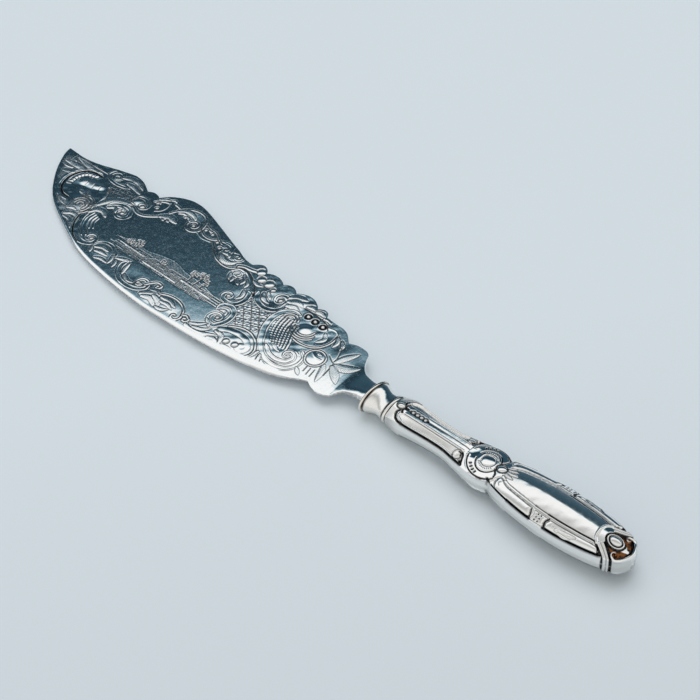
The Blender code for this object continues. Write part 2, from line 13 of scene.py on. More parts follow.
import bpy
import numpy as np
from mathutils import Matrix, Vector


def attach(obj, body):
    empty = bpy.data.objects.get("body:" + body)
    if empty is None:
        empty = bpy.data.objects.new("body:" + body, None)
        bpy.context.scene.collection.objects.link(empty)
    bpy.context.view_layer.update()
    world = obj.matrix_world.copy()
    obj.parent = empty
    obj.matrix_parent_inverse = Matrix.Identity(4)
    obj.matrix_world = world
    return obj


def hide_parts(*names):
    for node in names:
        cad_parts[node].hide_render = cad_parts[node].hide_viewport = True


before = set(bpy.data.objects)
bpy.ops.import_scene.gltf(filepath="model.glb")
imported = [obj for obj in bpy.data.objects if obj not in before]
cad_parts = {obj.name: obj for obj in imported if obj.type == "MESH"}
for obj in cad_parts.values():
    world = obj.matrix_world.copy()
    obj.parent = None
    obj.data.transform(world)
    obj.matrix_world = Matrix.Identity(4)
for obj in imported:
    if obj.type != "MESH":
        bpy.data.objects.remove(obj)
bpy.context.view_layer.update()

LOG = logging.getLogger("fish_slice")

Array = np.ndarray
Point = tuple[float, float]
Path = tuple[Point, ...]
Triple = tuple[float, float, float]
Colour = Triple
Tree = bpy.types.NodeTree
Socket = bpy.types.NodeSocket
Piece = bpy.types.Object

MILLIMETRE = 0.001


# Curves and distances


def ease(value: Array, low: float, high: float) -> Array:
    """Rise from 0 at low to 1 at high along the cubic 3t^2 - 2t^3."""
    t = np.clip((value - low) / (high - low), 0.0, 1.0)
    return t * t * (3.0 - 2.0 * t)


def hump(value: Array) -> Array:
    """Smooth bump (1 - t^2)^2, which is 1 at t = 0 and 0 from |t| = 1 on."""
    return np.clip(1.0 - value * value, 0.0, None) ** 2


def trough(gap: Array, half: float) -> Array:
    """Flat-bottomed band: 1 out to about 0.75 of a half width, 0 from 1.3 of it on."""
    return ease(1.3 - gap / half, 0.0, 0.55)


def spline(table: tuple | Array, along: Array) -> Array:
    """Cubic Hermite curve through a table's rows, slopes by central difference.

    Args:
        table: rows of a knot followed by its values, knots rising.
        along: places to read the curve at.

    Returns:
        One row of values for each place.
    """
    rows = np.array(table, dtype=float)
    knots, values = rows[:, 0], rows[:, 1:]
    slopes = np.gradient(values, knots, axis=0)
    place = np.clip(np.atleast_1d(along), knots[0], knots[-1])
    left = np.clip(np.searchsorted(knots, place, side="right") - 1, 0, len(knots) - 2)
    span = (knots[left + 1] - knots[left])[:, None]
    s = (place - knots[left])[:, None] / span
    start = values[left] * (2 * s**3 - 3 * s**2 + 1) + slopes[left] * span * (s**3 - 2 * s**2 + s)
    end = values[left + 1] * (3 * s**2 - 2 * s**3) + slopes[left + 1] * span * (s**3 - s**2)
    return start + end


def flowing(points: Path | Array, steps: int = 6) -> Array:
    """Smooth curve through points, each span a cubic with central-difference slopes; two stay a line.

    Args:
        points: places the curve goes through.
        steps: how many pieces each span is cut into.

    Returns:
        The curve as rows of x and y.
    """
    corners = np.array(points, dtype=float)
    if len(corners) == 2:
        return corners
    number = np.arange(len(corners), dtype=float)
    along = np.linspace(0.0, len(corners) - 1.0, (len(corners) - 1) * steps + 1)
    return spline(np.column_stack([number, corners]), along)


def curled(path: Array, eye: Point, turns: float, close: float = 0.16) -> Array:
    """Carry a path on into a spiral: radius falls evenly as the angle turns about the eye.

    Args:
        path: the curve so far.
        eye: the spiral's centre.
        turns: how many turns, positive against the clock.
        close: share of the first radius that is left at the end.

    Returns:
        The longer curve.
    """
    arm = path[-1] - np.array(eye)
    share = np.linspace(0.0, 1.0, max(8, int(abs(turns) * 26)))[1:]
    radius = np.hypot(*arm) * (1.0 - (1.0 - close) * share)
    angle = math.atan2(arm[1], arm[0]) + 2.0 * math.pi * turns * share
    spiral = np.column_stack([eye[0] + radius * np.cos(angle), eye[1] + radius * np.sin(angle)])
    return np.concatenate([path, spiral])


def arc(centre: Point, radius: Point, start: float, end: float) -> Array:
    """Piece of an ellipse about a centre between two angles in degrees."""
    angle = np.radians(np.linspace(start, end, max(6, int(abs(end - start) / 9.0))))
    return np.column_stack([centre[0] + radius[0] * np.cos(angle), centre[1] + radius[1] * np.sin(angle)])


def nearest(x: Array, y: Array, path: Array) -> tuple[Array, Array, Array]:
    """Distance of points from a polyline: the least over its straight pieces.

    Args:
        x: places along the axis.
        y: places across it.
        path: the polyline's corners.

    Returns:
        The distance, the share of the polyline's length at the nearest place, and the side
        (1 to the left of the way it runs, -1 to the right).
    """
    span = np.diff(path, axis=0)
    length = np.maximum(np.hypot(span[:, 0], span[:, 1]), 1e-9)
    reach = np.concatenate([[0.0], np.cumsum(length)])
    best, place, side = np.full(x.shape, 1e9), np.zeros(x.shape), np.ones(x.shape)
    for corner, leg, size, before in zip(path[:-1], span, length, reach):
        dx, dy = x - corner[0], y - corner[1]
        s = np.clip((dx * leg[0] + dy * leg[1]) / size**2, 0.0, 1.0)
        gap = np.hypot(dx - s * leg[0], dy - s * leg[1])
        closer = gap < best
        best = np.where(closer, gap, best)
        place = np.where(closer, before + s * size, place)
        side = np.where(closer, np.sign(leg[0] * dy - leg[1] * dx), side)
    return best, place / reach[-1], side


def within(x: Array, y: Array, path: Array) -> Array:
    """True where a point lies inside a closed polygon, by counting crossings to its right.

    Args:
        x: places along the axis.
        y: places across it.
        path: the polygon's corners.

    Returns:
        A truth value for each point.
    """
    inside = np.zeros(x.shape, dtype=bool)
    for (ax, ay), (bx, by) in zip(path, np.roll(path, -1, axis=0)):
        spans = (ay > y) != (by > y)
        inside ^= spans & (x < (bx - ax) * (y - ay) / (by - ay + 1e-12) + ax)
    return inside


def stripes(x: Array, y: Array, pitch: float, lean: float) -> Array:
    """Distance to the nearest of a set of parallel lines, as a share of their pitch.

    Args:
        x: places along the axis.
        y: places across it.
        pitch: distance between neighbouring lines.
        lean: angle of the lines in degrees.

    Returns:
        The distance at each point, from 0 to 0.5.
    """
    turn = math.radians(lean)
    place = (y * math.cos(turn) - x * math.sin(turn)) / pitch
    return np.abs(place - np.round(place))


def spoke(centre: Point, span: Point, angle: float, squash: float = 1.0) -> Array:
    """Short straight line that points away from a centre.

    Args:
        centre: where the spokes would meet.
        span: distances from the centre at which it starts and ends.
        angle: its direction in radians.
        squash: width across the axis over width along it.

    Returns:
        Its two ends.
    """
    reach = np.array(span)
    x, y = centre[0] + reach * math.cos(angle), centre[1] + squash * reach * math.sin(angle)
    return np.column_stack([x, y])


def grain(x: Array, y: Array, seed: int) -> Array:
    """Repeatable rough pattern from 0 to 1: a sum of slanted sine waves of unlike length.

    Args:
        x: places along the axis.
        y: places across it.
        seed: which pattern.

    Returns:
        The pattern's value at each point.
    """
    waves = 5
    chance = np.random.default_rng(seed)
    total = np.zeros(x.shape)
    for _ in range(waves):
        kx, ky, shift = chance.uniform(-2.4, 2.4), chance.uniform(-2.4, 2.4), chance.uniform(0.0, 6.3)
        total += np.sin(kx * x + ky * y + shift)
    return 0.5 + 0.5 * total / waves


# Ornament


class Tool(Enum):
    """How a stroke of ornament is worked into the metal."""

    BAND = "rounded band with a groove along each side"
    SCROLL = "hollow band between two thin rims"
    LEAF = "tapering lobe with a vein"
    LINE = "cut groove"
    WIRE = "thin raised line without grooves"


@dataclass(frozen=True)
class Stroke:
    """One stroke of ornament: its points as x and y in turn and, for a scroll, its eye and turns."""

    tool: Tool
    half: float
    points: tuple[float, ...]
    eye: Point | None = None
    turns: float = 0.0
    rise: float = 1.0
    stain: float = 1.0

    def path(self) -> Array:
        """The stroke's middle line, with its curl where it has an eye."""
        middle = flowing(np.reshape(self.points, (-1, 2)))
        return curled(middle, self.eye, self.turns) if self.eye else middle


# Makers of strokes, one for each tool
band = partial(Stroke, Tool.BAND)
scroll = partial(Stroke, Tool.SCROLL)
leaf = partial(Stroke, Tool.LEAF)
line = partial(Stroke, Tool.LINE)
wire = partial(Stroke, Tool.WIRE)


@dataclass(frozen=True)
class Trace:
    """One stroke as the points near it see it.

    The points' indices, their distance from the stroke's middle line, their place along it in
    millimetres and their side of it; then the stroke's length, half width, rise and stain.
    """

    at: tuple[Array, ...]
    gap: Array
    along: Array
    side: Array
    reach: float
    half: float
    rise: float
    stain: float


@dataclass
class Carving:
    """Relief worked on a face seen in plan.

    Every point has a broad form and a height on it, in millimetres, and darkness (patina in the
    hollows, with painted shade in some places), frost and stain from 0 to 1.
    """

    x: Array
    y: Array
    band_rise: float
    leaf_rise: float
    cut_depth: float
    leaf_frost: float = 0.0
    form: Array = field(init=False)
    height: Array = field(init=False)
    tarnish_and_shade: Array = field(init=False)
    frost: Array = field(init=False)
    stain: Array = field(init=False)

    def __post_init__(self) -> None:
        """Start from a plain clean face."""
        self.form, self.height = np.zeros(self.x.shape), np.zeros(self.x.shape)
        self.tarnish_and_shade, self.frost, self.stain = (np.zeros(self.x.shape) for _ in range(3))

    def near(self, path: Array, reach: float = 0.1) -> tuple[Array, ...]:
        """Indices of the points in a path's box, widened by a reach.

        Args:
            path: the path's corners.
            reach: how far outside the box points still count.

        Returns:
            Row and column indices.
        """
        low, high = path.min(axis=0) - reach, path.max(axis=0) + reach
        inside = (self.x > low[0]) & (self.x < high[0]) & (self.y > low[1]) & (self.y < high[1])
        return np.nonzero(inside)

    def area(self, outline: Array, reach: float = 0.1) -> tuple[tuple[Array, ...], Array, Array]:
        """Points in and near a closed field.

        Args:
            outline: its closed edge.
            reach: how far outside the field's box points still count.

        Returns:
            The points' indices, their distance from the edge and whether they lie inside it.
        """
        at = self.near(outline, reach)
        x, y = self.x[at], self.y[at]
        gap, _, _ = nearest(x, y, np.concatenate([outline, outline[:1]]))
        return at, gap, within(x, y, outline)

    def apart(self, centre: Point, radius: Point) -> Array:
        """Distance of every point from a centre, as a share of an oval's radii."""
        return np.hypot((self.x - centre[0]) / radius[0], (self.y - centre[1]) / radius[1])

    def darken(self, at: tuple[Array, ...], amount: Array) -> None:
        """Blacken points up to an amount, where they aren't blacker already."""
        self.tarnish_and_shade[at] = np.maximum(self.tarnish_and_shade[at], amount)

    def work(self, stroke: Stroke) -> None:
        """Work one stroke with its tool."""
        self.follow(stroke.tool, stroke.path(), stroke.half, stroke.rise, stroke.stain)

    def follow(self, tool: Tool, path: Array, half: float, rise: float = 1.0, stain: float = 1.0) -> None:
        """Work a path with a tool.

        Args:
            tool: the tool.
            path: the stroke's middle line.
            half: half width in millimetres.
            rise: share of the usual height or depth.
            stain: share of the usual darkness in its grooves.
        """
        at = self.near(path, half * 1.4 + 0.8)
        if not len(at[0]):
            return
        gap, share, side = nearest(self.x[at], self.y[at], path)
        reach = float(np.hypot(*np.diff(path, axis=0).T).sum())
        works = {
            Tool.BAND: self.cut_band,
            Tool.SCROLL: self.cut_scroll,
            Tool.LEAF: self.cut_leaf,
            Tool.LINE: self.cut_line,
            Tool.WIRE: self.cut_wire,
        }
        works[tool](Trace(at, gap, share * reach, side, reach, half, rise, stain))

    def cut_line(self, trace: Trace) -> None:
        """A line is a hump in section, cut below the ground."""
        self.height[trace.at] -= trace.rise * self.cut_depth * hump(trace.gap / (trace.half * 1.4))
        self.darken(trace.at, trace.stain * trough(trace.gap, trace.half))

    def cut_wire(self, trace: Trace) -> None:
        """A wire is raised as 1 - u^2 and clears the darkness under it.

        Args:
            trace: the stroke.
        """
        at, u = trace.at, trace.gap / trace.half
        top = trace.rise * self.band_rise * np.clip(1.0 - u * u, 0.0, None)
        self.height[at] += (1.0 - ease(u, 0.75, 1.25)) * np.clip(top - self.height[at], 0.0, None)
        self.tarnish_and_shade[at] *= np.clip(u, 0.0, 1.0) ** 3

    def cut_band(self, trace: Trace) -> None:
        """A band rises as 1 - u^2 over its half width, with a groove just outside it on both sides.

        Args:
            trace: the stroke.
        """
        groove_off, groove_half = 0.17, 0.2
        self.cut_wire(trace)
        off = np.abs(trace.gap - trace.half - groove_off)
        self.height[trace.at] -= 0.5 * trace.rise * self.band_rise * hump(off / 0.28)
        self.darken(trace.at, 0.8 * trace.stain * trough(off, groove_half))

    def cut_scroll(self, trace: Trace) -> None:
        """A scroll is a shallow hollow between two thin rims; it narrows to its ends, where they join.

        Args:
            trace: the stroke.
        """
        rim, thinnest, groove_half = 0.34, 0.12, 0.12
        at, gap, along, half = trace.at, trace.gap, trace.along, trace.half
        wide = half * ease(along, -0.8, 2.4) * (1.0 - 0.62 * ease(along / trace.reach, 0.5, 1.0))
        wide = np.maximum(wide, thinnest)
        inside = gap < wide + rim
        self.height[at] = np.where(inside, self.height[at] * 0.25, self.height[at])
        self.tarnish_and_shade[at] = np.where(inside, 0.0, self.tarnish_and_shade[at])
        lip = hump((gap - wide) / rim) * (0.85 + 0.3 * np.sin(1.1 * along + 5.0 * half))
        bowl = np.where(gap < wide, 0.55 * (gap / wide) ** 2 - 0.15, 0.0)
        self.height[at] += trace.rise * self.band_rise * np.maximum(lip, bowl)
        outer, inner = np.abs(gap - wide - rim - 0.06), np.abs(gap - wide + rim + 0.02)
        self.height[at] -= 0.25 * trace.rise * self.band_rise * hump(outer / 0.3)
        dark = 0.3 * trough(inner, groove_half) * ease(wide, 0.5, 0.8)
        self.darken(at, trace.stain * np.maximum(0.75 * trough(outer, groove_half), dark))

    def cut_leaf(self, trace: Trace) -> None:
        """A leaf swells and comes to a point; it is rounded as 1 - u^2, veined and thinly outlined, the
        outline painted darker on its right-hand side as shade.

        Args:
            trace: the stroke.
        """
        vein_pitch, vein_slant, outline_off = 0.85, 0.9, 0.1
        at, gap, along, lift = trace.at, trace.gap, trace.along, trace.rise * self.leaf_rise
        wide = trace.half * np.sin(math.pi * (0.16 + 0.84 * along / trace.reach)) ** 0.7 + 1e-4
        u = gap / wide
        inside = u < 1.0
        place = (along - vein_slant * gap) / vein_pitch
        vein = np.abs(place - np.round(place))
        top = lift * (1.0 - u * u) * np.minimum(1.0, wide / 0.5)
        top -= 0.35 * lift * hump(gap / 0.22) * ease(wide, 0.4, 0.7)
        top -= 0.22 * lift * hump(vein / 0.36) * ease(wide, 0.6, 1.0) * ease(gap, 0.15, 0.4)
        off = np.abs(gap - wide - outline_off)
        self.height[at] = np.where(inside, np.maximum(self.height[at] * 0.3, top), self.height[at])
        self.height[at] -= 0.35 * lift * hump(off / 0.25)
        hatch = hump(vein / 0.26) * inside * ease(wide, 0.95, 1.4) * ease(u, 0.2, 0.5)
        # Painted shade: the outline is blacker on the right of the stroke than on its left.
        edge = trough(off, 0.16) * np.where(trace.side > 0.0, 0.6, 1.0)
        self.tarnish_and_shade[at] = np.where(inside, self.tarnish_and_shade[at] * np.clip(u, 0.0, 1.0) ** 3, self.tarnish_and_shade[at])
        self.darken(at, 0.6 * trace.stain * hatch * (trace.side < 0.0))
        self.darken(at, 0.8 * trace.stain * edge)
        matt = np.where(inside, self.leaf_frost * ease(u, 1.0, 0.6), 0.0)
        self.frost[at] = np.maximum(self.frost[at], matt)

    def oval(self, centre: Point, radius: Point, rise: float, ring: float, soft: float = 0.5) -> None:
        """Raise an oval boss (1 - u^2)^soft high inside its edge, and cut a groove outside it.

        Args:
            centre: its middle.
            radius: its radii along and across the axis.
            rise: height of its middle.
            ring: darkness of the groove.
            soft: power of its rounding; the less, the flatter.
        """
        size = min(radius)
        u = self.apart(centre, radius)
        at = np.nonzero(u < 1.0 + 0.8 / size)
        u = u[at]
        inside, gap = u < 1.0, (u - 1.0) * size
        dome = rise * np.clip(1.0 - u * u, 0.0, None) ** soft
        groove = 0.4 * min(rise, 0.3) * hump((gap - 0.24) / 0.34) * (u > 1.0)
        self.height[at] = np.where(inside, dome, self.height[at]) - groove
        self.tarnish_and_shade[at] = np.where(inside, self.tarnish_and_shade[at] * 0.1, self.tarnish_and_shade[at])
        self.darken(at, ring * trough(np.abs(gap - 0.22), 0.3))
        self.stain[at] = np.where(inside, 0.0, self.stain[at])

    def swell(self, centre: Point, radius: Point, rise: float) -> None:
        """Raise a broad soft mound, (1 - u^2)^2 high, without an edge."""
        self.form += rise * hump(self.apart(centre, radius))

    def hatch(self, outline: Array, pitch: float, lean: float, depth: float, stain: float) -> None:
        """Cut a closed field with parallel lines, each a hump in section.

        Args:
            outline: its closed edge.
            pitch: distance between the lines.
            lean: their angle in degrees.
            depth: their depth.
            stain: their darkness.
        """
        at = self.near(outline)
        x, y = self.x[at], self.y[at]
        cut = hump(stripes(x, y, pitch, lean) / 0.34) * within(x, y, outline)
        self.height[at] -= depth * cut
        self.darken(at, stain * cut)

    def sink(self, outline: Array, depth: float, soft: float) -> None:
        """Sink a closed field by a depth, its walls sloping over a soft width inside the edge."""
        at, gap, inside = self.area(outline)
        self.height[at] -= depth * np.where(inside, ease(gap, 0.0, soft), 0.0)

    def pillow(self, outline: Array, rise: float, soft: float, groove: float, stain: float) -> None:
        """Raise a closed field as a cushion: a quarter round inside its edge, a groove outside.

        Args:
            outline: its closed edge.
            rise: height of the cushion.
            soft: width of the rounding.
            groove: half width of the groove.
            stain: darkness of the groove.
        """
        at, gap, inside = self.area(outline, 1.2)
        bulge = rise * np.sqrt(np.clip(1.0 - np.clip(1.0 - gap / soft, 0.0, 1.0) ** 2, 0.0, 1.0))
        off = np.where(inside, gap + groove, np.abs(gap - groove))
        cushion = np.where(inside, self.height[at] + bulge, self.height[at])
        self.height[at] = cushion - 0.45 * hump(off / (groove * 1.5))
        self.darken(at, stain * trough(off, groove * 0.95))

    def matt(self, outline: Array, amount: float, edge: float, seed: int) -> None:
        """Frost a closed field, blotched by a rough pattern that also frays its edge.

        Args:
            outline: its closed edge.
            amount: how dull the field is.
            edge: width over which the frost comes in.
            seed: which pattern.
        """
        at, gap, inside = self.area(outline)
        rough = grain(self.x[at], self.y[at], seed)
        cover = np.where(inside, ease(gap + (rough - 0.5) * edge, 0.0, edge), 0.0)
        self.frost[at] = np.maximum(self.frost[at], amount * cover * (0.6 + 0.8 * rough))

    def diaper(
        self, outline: Array, lines: Point, rows: Point, cross: float, depth: float, dot: float,
    ) -> None:
        """Cut a field with bold parallel grooves and lighter rows across them.

        Args:
            outline: its closed edge.
            lines: distance between the bold grooves and their angle in degrees.
            rows: distance between the light rows and their angle in degrees.
            cross: depth and darkness of the rows as a share of the grooves'.
            depth: depth of the grooves.
            dot: height of the stippling in the cells.
        """
        at, gap, inside = self.area(outline)
        x, y = self.x[at], self.y[at]
        cover = np.where(inside, ease(gap, 0.0, 0.4), 0.0)
        for (pitch, lean), share, half in ((lines, 1.0, 0.26), (rows, cross, 0.2)):
            off = stripes(x, y, pitch, lean) * pitch
            cut = hump(off / (half * 1.4)) * cover * share
            self.height[at] -= depth * cut
            self.darken(at, 0.9 * cut)
        dots = grain(2.2 * x, 2.2 * y, 21)
        self.height[at] += dot * ease(dots, 0.5, 0.75) * cover
        self.frost[at] = np.maximum(self.frost[at], 3.0 * dot * cover)


# Meshes


@dataclass(frozen=True)
class Lay:
    """How the assembly lies: tilted onto the blade's tip and the handle's belly, then set down."""

    offset: Triple = (0.03755706, -0.00524604, 0.00511893)
    tilt: float = 0.022832757

    def place(self, points: Array) -> Array:
        """Turn places in the collar's frame about Y by the tilt and shift them.

        Args:
            points: places in the collar's frame, in millimetres.

        Returns:
            The same places on the table, in metres.
        """
        x, y, z = np.moveaxis(points * MILLIMETRE, -1, 0)
        c, s = math.cos(self.tilt), math.sin(self.tilt)
        return np.stack([x * c - z * s, y, x * s + z * c], axis=-1) + np.array(self.offset)


def skin(
    name: str, rings: Array, marks: dict[str, Array] | None = None, closed: bool = False,
    sharp: float = 48.0,
) -> Piece:
    """Skin closed rings with quads and cap the two ends, or join the last ring to the first.

    Args:
        name: the piece's name.
        rings: points as rings by places on a ring by three, in the collar's millimetres.
        marks: values at every point, kept as attributes.
        closed: whether the last ring joins the first.
        sharp: angle in degrees from which an edge is shaded as a crease.

    Returns:
        The piece, linked to the scene, with its faces pointing out.
    """
    count, around = rings.shape[:2]
    points = Lay().place(rings).reshape(-1, 3)
    index = np.arange(count * around).reshape(count, around)
    lower, upper = (index, np.roll(index, -1, axis=0)) if closed else (index[:-1], index[1:])
    quads = np.stack([lower, np.roll(lower, -1, 1), np.roll(upper, -1, 1), upper], axis=-1).reshape(-1, 4)
    a, b, c, d = (points[quads[:, k]] for k in range(4))
    volume = np.einsum("ij,ij->", a, np.cross(b, c)) + np.einsum("ij,ij->", a, np.cross(c, d))
    ends = [] if closed else [index[0][::-1], index[-1]]
    if not closed:
        for ring, sign in ((points[index[0]], -1.0), (points[index[-1]], 1.0)):
            hub = np.broadcast_to(ring.mean(axis=0), ring.shape)
            volume += sign * np.einsum("ij,ij->", hub, np.cross(ring, np.roll(ring, -1, 0)))
    if volume < 0.0:
        quads = quads[:, ::-1]
        ends = [end[::-1] for end in ends]
    corners = np.concatenate([quads.ravel(), *ends]).astype(np.int32)
    sizes = np.array([4] * len(quads) + [len(end) for end in ends], dtype=np.int32)
    mesh = bpy.data.meshes.new(name)
    mesh.vertices.add(len(points))
    mesh.vertices.foreach_set("co", points.astype(np.float32).ravel())
    mesh.loops.add(len(corners))
    mesh.loops.foreach_set("vertex_index", corners)
    mesh.polygons.add(len(sizes))
    mesh.polygons.foreach_set("loop_start", np.concatenate([[0], np.cumsum(sizes)[:-1]]).astype(np.int32))
    mesh.polygons.foreach_set("loop_total", sizes)
    mesh.polygons.foreach_set("use_smooth", np.ones(len(sizes), dtype=bool))
    mesh.update(calc_edges=True)
    for label, values in (marks or {}).items():
        kept = mesh.attributes.new(label, "FLOAT", "POINT")
        kept.data.foreach_set("value", np.clip(values, 0.0, 1.0).astype(np.float32).ravel())
    mesh.validate()
    mesh.set_sharp_from_angle(angle=math.radians(sharp))
    piece = bpy.data.objects.new(name, mesh)
    bpy.context.scene.collection.objects.link(piece)
    return piece


def turned(name: str, profile: Array, flat: float, tarnish_and_shade_amount: Array, wobble: float) -> Piece:
    """Turn a closed profile about the handle's axis and flatten it to an oval.

    A point at distance x and radius r goes round as (x, r cos a, flat r sin a), with a slight
    hand-made wobble of the radius; the sides and the underside are dull and darker, partly painted shade.

    Args:
        name: the piece's name.
        profile: closed rows of distance along the axis and radius.
        flat: depth over width.
        tarnish_and_shade_amount: darkness along the profile, patina with painted shade in the joints.
        wobble: how far the radius wanders, as a share of itself.

    Returns:
        The piece.
    """
    steps = 128
    angle = np.linspace(0.0, 2.0 * math.pi, steps, endpoint=False)[:, None]
    wander = 1.0 + wobble * (np.sin(3.0 * angle + 0.7) + 0.6 * np.sin(5.0 * angle + 2.1))
    x = np.broadcast_to(profile[:, 0], (steps, len(profile)))
    radius = profile[:, 1] * wander
    tarnish_and_shade = tarnish_and_shade_amount * (0.75 + 0.25 * np.sin(2.0 * angle + 4.0) + 0.15 * np.sin(7.0 * angle))
    # Painted shade: the sides and underside are frosted, which also mixes their colour towards the darker
    # matt tone.
    dull = np.broadcast_to(0.8 * ease(-np.sin(angle), -0.75, 0.0), tarnish_and_shade.shape)
    marks = {"tarnish_and_shade": tarnish_and_shade, "frost": dull, "stain": 0.3 * np.sqrt(np.clip(tarnish_and_shade, 0.0, 1.0))}
    rings = np.stack([x, radius * np.cos(angle), flat * radius * np.sin(angle)], axis=-1)
    return skin(name, rings, marks, closed=True)


# Finishes


def node(tree: Tree, kind: str, sockets: dict | None = None, **settings: object) -> bpy.types.Node:
    """Add a node, set its properties and fill or link its inputs.

    Args:
        tree: the node tree.
        kind: the node's type.
        sockets: input name or number to a constant or an output socket.
        settings: properties of the node.

    Returns:
        The node.
    """
    made = tree.nodes.new(kind)
    for label, value in settings.items():
        setattr(made, label, value)
    for label, value in (sockets or {}).items():
        if isinstance(value, bpy.types.NodeSocket):
            tree.links.new(value, made.inputs[label])
        else:
            made.inputs[label].default_value = value
    return made


def maths(tree: Tree, operation: str, first: object, second: object = 0.0, third: object = 0.0) -> Socket:
    """One Math node on values or sockets."""
    return node(tree, "ShaderNodeMath", {0: first, 1: second, 2: third}, operation=operation).outputs[0]


def blend(tree: Tree, share: object, first: object, second: object) -> Socket:
    """Mix two colours by a share."""
    return node(tree, "ShaderNodeMix", {0: share, 6: first, 7: second}, data_type="RGBA").outputs[2]


def clamped(tree: Tree, value: Socket, low: float = 0.0, high: float = 1.0) -> Socket:
    """A value held between two limits."""
    return node(tree, "ShaderNodeClamp", {0: value, 1: low, 2: high}).outputs[0]


def stretched(tree: Tree, place: Socket, turn: float, scale: Triple) -> Socket:
    """A place turned about Z and scaled, to draw a pattern out into lines."""
    sockets = {"Vector": place, "Rotation": (0.0, 0.0, turn), "Scale": scale}
    return node(tree, "ShaderNodeMapping", sockets).outputs[0]


def noise(tree: Tree, place: Socket, scale: float, detail: float, **more: float) -> Socket:
    """Soft random pattern read at a place."""
    sockets = {"Vector": place, "Scale": scale, "Detail": detail, **more}
    return node(tree, "ShaderNodeTexNoise", sockets).outputs["Fac"]


def dented(tree: Tree, height: Socket, strength: float, depth: float, **more: Socket) -> Socket:
    """A normal bent by a height that is so many metres deep."""
    sockets = {"Strength": strength, "Distance": depth, "Height": height, **more}
    return node(tree, "ShaderNodeBump", sockets).outputs[0]


def mark(tree: Tree, name: str) -> Socket:
    """A value kept at the mesh's points."""
    return node(tree, "ShaderNodeAttribute", attribute_name=name).outputs["Fac"]


def opaque(colour: Colour, share: float = 1.0) -> tuple[float, float, float, float]:
    """A share of a colour, with full alpha."""
    return (*(share * channel for channel in colour), 1.0)


def plain(name: str) -> tuple[bpy.types.Material, Tree, bpy.types.Node, Socket]:
    """Start a node material.

    Args:
        name: the material's name.

    Returns:
        The material, its tree, its shader and the place in Object space.
    """
    made = bpy.data.materials.new(name)
    made.use_nodes = True
    tree = made.node_tree
    return made, tree, tree.nodes["Principled BSDF"], node(tree, "ShaderNodeTexCoord").outputs["Object"]


@dataclass(frozen=True)
class Silver:
    """Old silver: bright metal with fine scratches, dark in its grooves and where shade is painted, dull
    where it is frosted.
    """

    name: str
    colour: Colour
    roughness: float
    ripple: float
    scratch: float = 0.02
    speckle: float = 0.0
    dark: Colour = (0.010, 0.010, 0.011)
    rust: Colour = (0.27, 0.10, 0.03)
    matt: Colour = (0.86, 0.80, 0.72)

    def material(self) -> bpy.types.Material:
        """Node material: noise gives scratches and wear, the marks on the mesh give patina, painted shade,
        frost and stain.

        Returns:
            The material.
        """
        made, tree, shader, place = plain(self.name)
        shader.inputs["Metallic"].default_value = 1.0
        hair = noise(tree, stretched(tree, place, 0.35, (700.0, 3600.0, 3600.0)), 1.0, 3.0, Roughness=0.6)
        swirl = noise(tree, stretched(tree, place, -0.9, (500.0, 3000.0, 3000.0)), 1.0, 2.0)
        broad = noise(tree, place, 90.0, 4.0, Roughness=0.55)
        wave = noise(tree, place, 300.0, 3.0)
        rough = maths(tree, "MULTIPLY_ADD", broad, 0.06, self.roughness - 0.03)
        rough = maths(tree, "MULTIPLY_ADD", hair, 0.04, rough)
        tone = blend(tree, broad, opaque(self.colour, 0.95), opaque(self.colour))
        ragged = maths(tree, "MULTIPLY_ADD", hair, 0.5, 0.75)
        # The darkening mark holds patina in the hollows and painted shade, and both blend to the dark colour
        # here.
        tarnish_and_shade_amount = clamped(tree, maths(tree, "MULTIPLY", mark(tree, "tarnish_and_shade"), ragged))
        frost = mark(tree, "frost")
        patch = clamped(tree, maths(tree, "MULTIPLY_ADD", noise(tree, place, 900.0, 2.0), 5.0, -1.9))
        tone = blend(tree, maths(tree, "MULTIPLY", frost, 0.6), tone, opaque(self.matt))
        tone = blend(tree, tarnish_and_shade_amount, tone, opaque(self.dark))
        tone = blend(tree, maths(tree, "MULTIPLY", mark(tree, "stain"), patch), tone, opaque(self.rust))
        rough = maths(tree, "MULTIPLY_ADD", frost, 0.34, rough)
        rough = maths(tree, "MULTIPLY_ADD", tarnish_and_shade_amount, 0.30, rough)
        if self.speckle:
            pits = noise(tree, place, 1100.0, 3.0, Roughness=0.7)
            worn = clamped(tree, maths(tree, "MULTIPLY_ADD", pits, 3.0, -1.35))
            rough = maths(tree, "MULTIPLY_ADD", worn, self.speckle, rough)
        low = dented(tree, wave, self.ripple, 0.002)
        high = dented(tree, maths(tree, "ADD", hair, swirl), self.scratch, 0.0003, Normal=low)
        tree.links.new(tone, shader.inputs["Base Color"])
        tree.links.new(clamped(tree, rough, 0.04, 0.9), shader.inputs["Roughness"])
        tree.links.new(high, shader.inputs["Normal"])
        return made


@dataclass(frozen=True)
class Dull:
    """A hidden rough surface, such as pitch or black iron, mottled and pitted."""

    name: str
    light: Colour
    dark: Colour
    roughness: float
    metallic: float

    def material(self) -> bpy.types.Material:
        """Node material: two noises mix the tones and dent the surface.

        Returns:
            The material.
        """
        made, tree, shader, place = plain(self.name)
        shader.inputs["Metallic"].default_value = self.metallic
        blotch, pits = noise(tree, place, 260.0, 5.0), noise(tree, place, 1900.0, 2.0)
        tone = blend(tree, blotch, opaque(self.dark), opaque(self.light))
        tree.links.new(tone, shader.inputs["Base Color"])
        rough = maths(tree, "MULTIPLY_ADD", pits, 0.25, self.roughness - 0.12)
        tree.links.new(rough, shader.inputs["Roughness"])
        tree.links.new(dented(tree, pits, 0.3, 0.0005), shader.inputs["Normal"])
        return made


def dress(piece: Piece, finish: Silver | Dull) -> None:
    """Give a piece one finish in place of what it had."""
    piece.data.materials.clear()
    piece.data.materials.append(finish.material())


# Blade


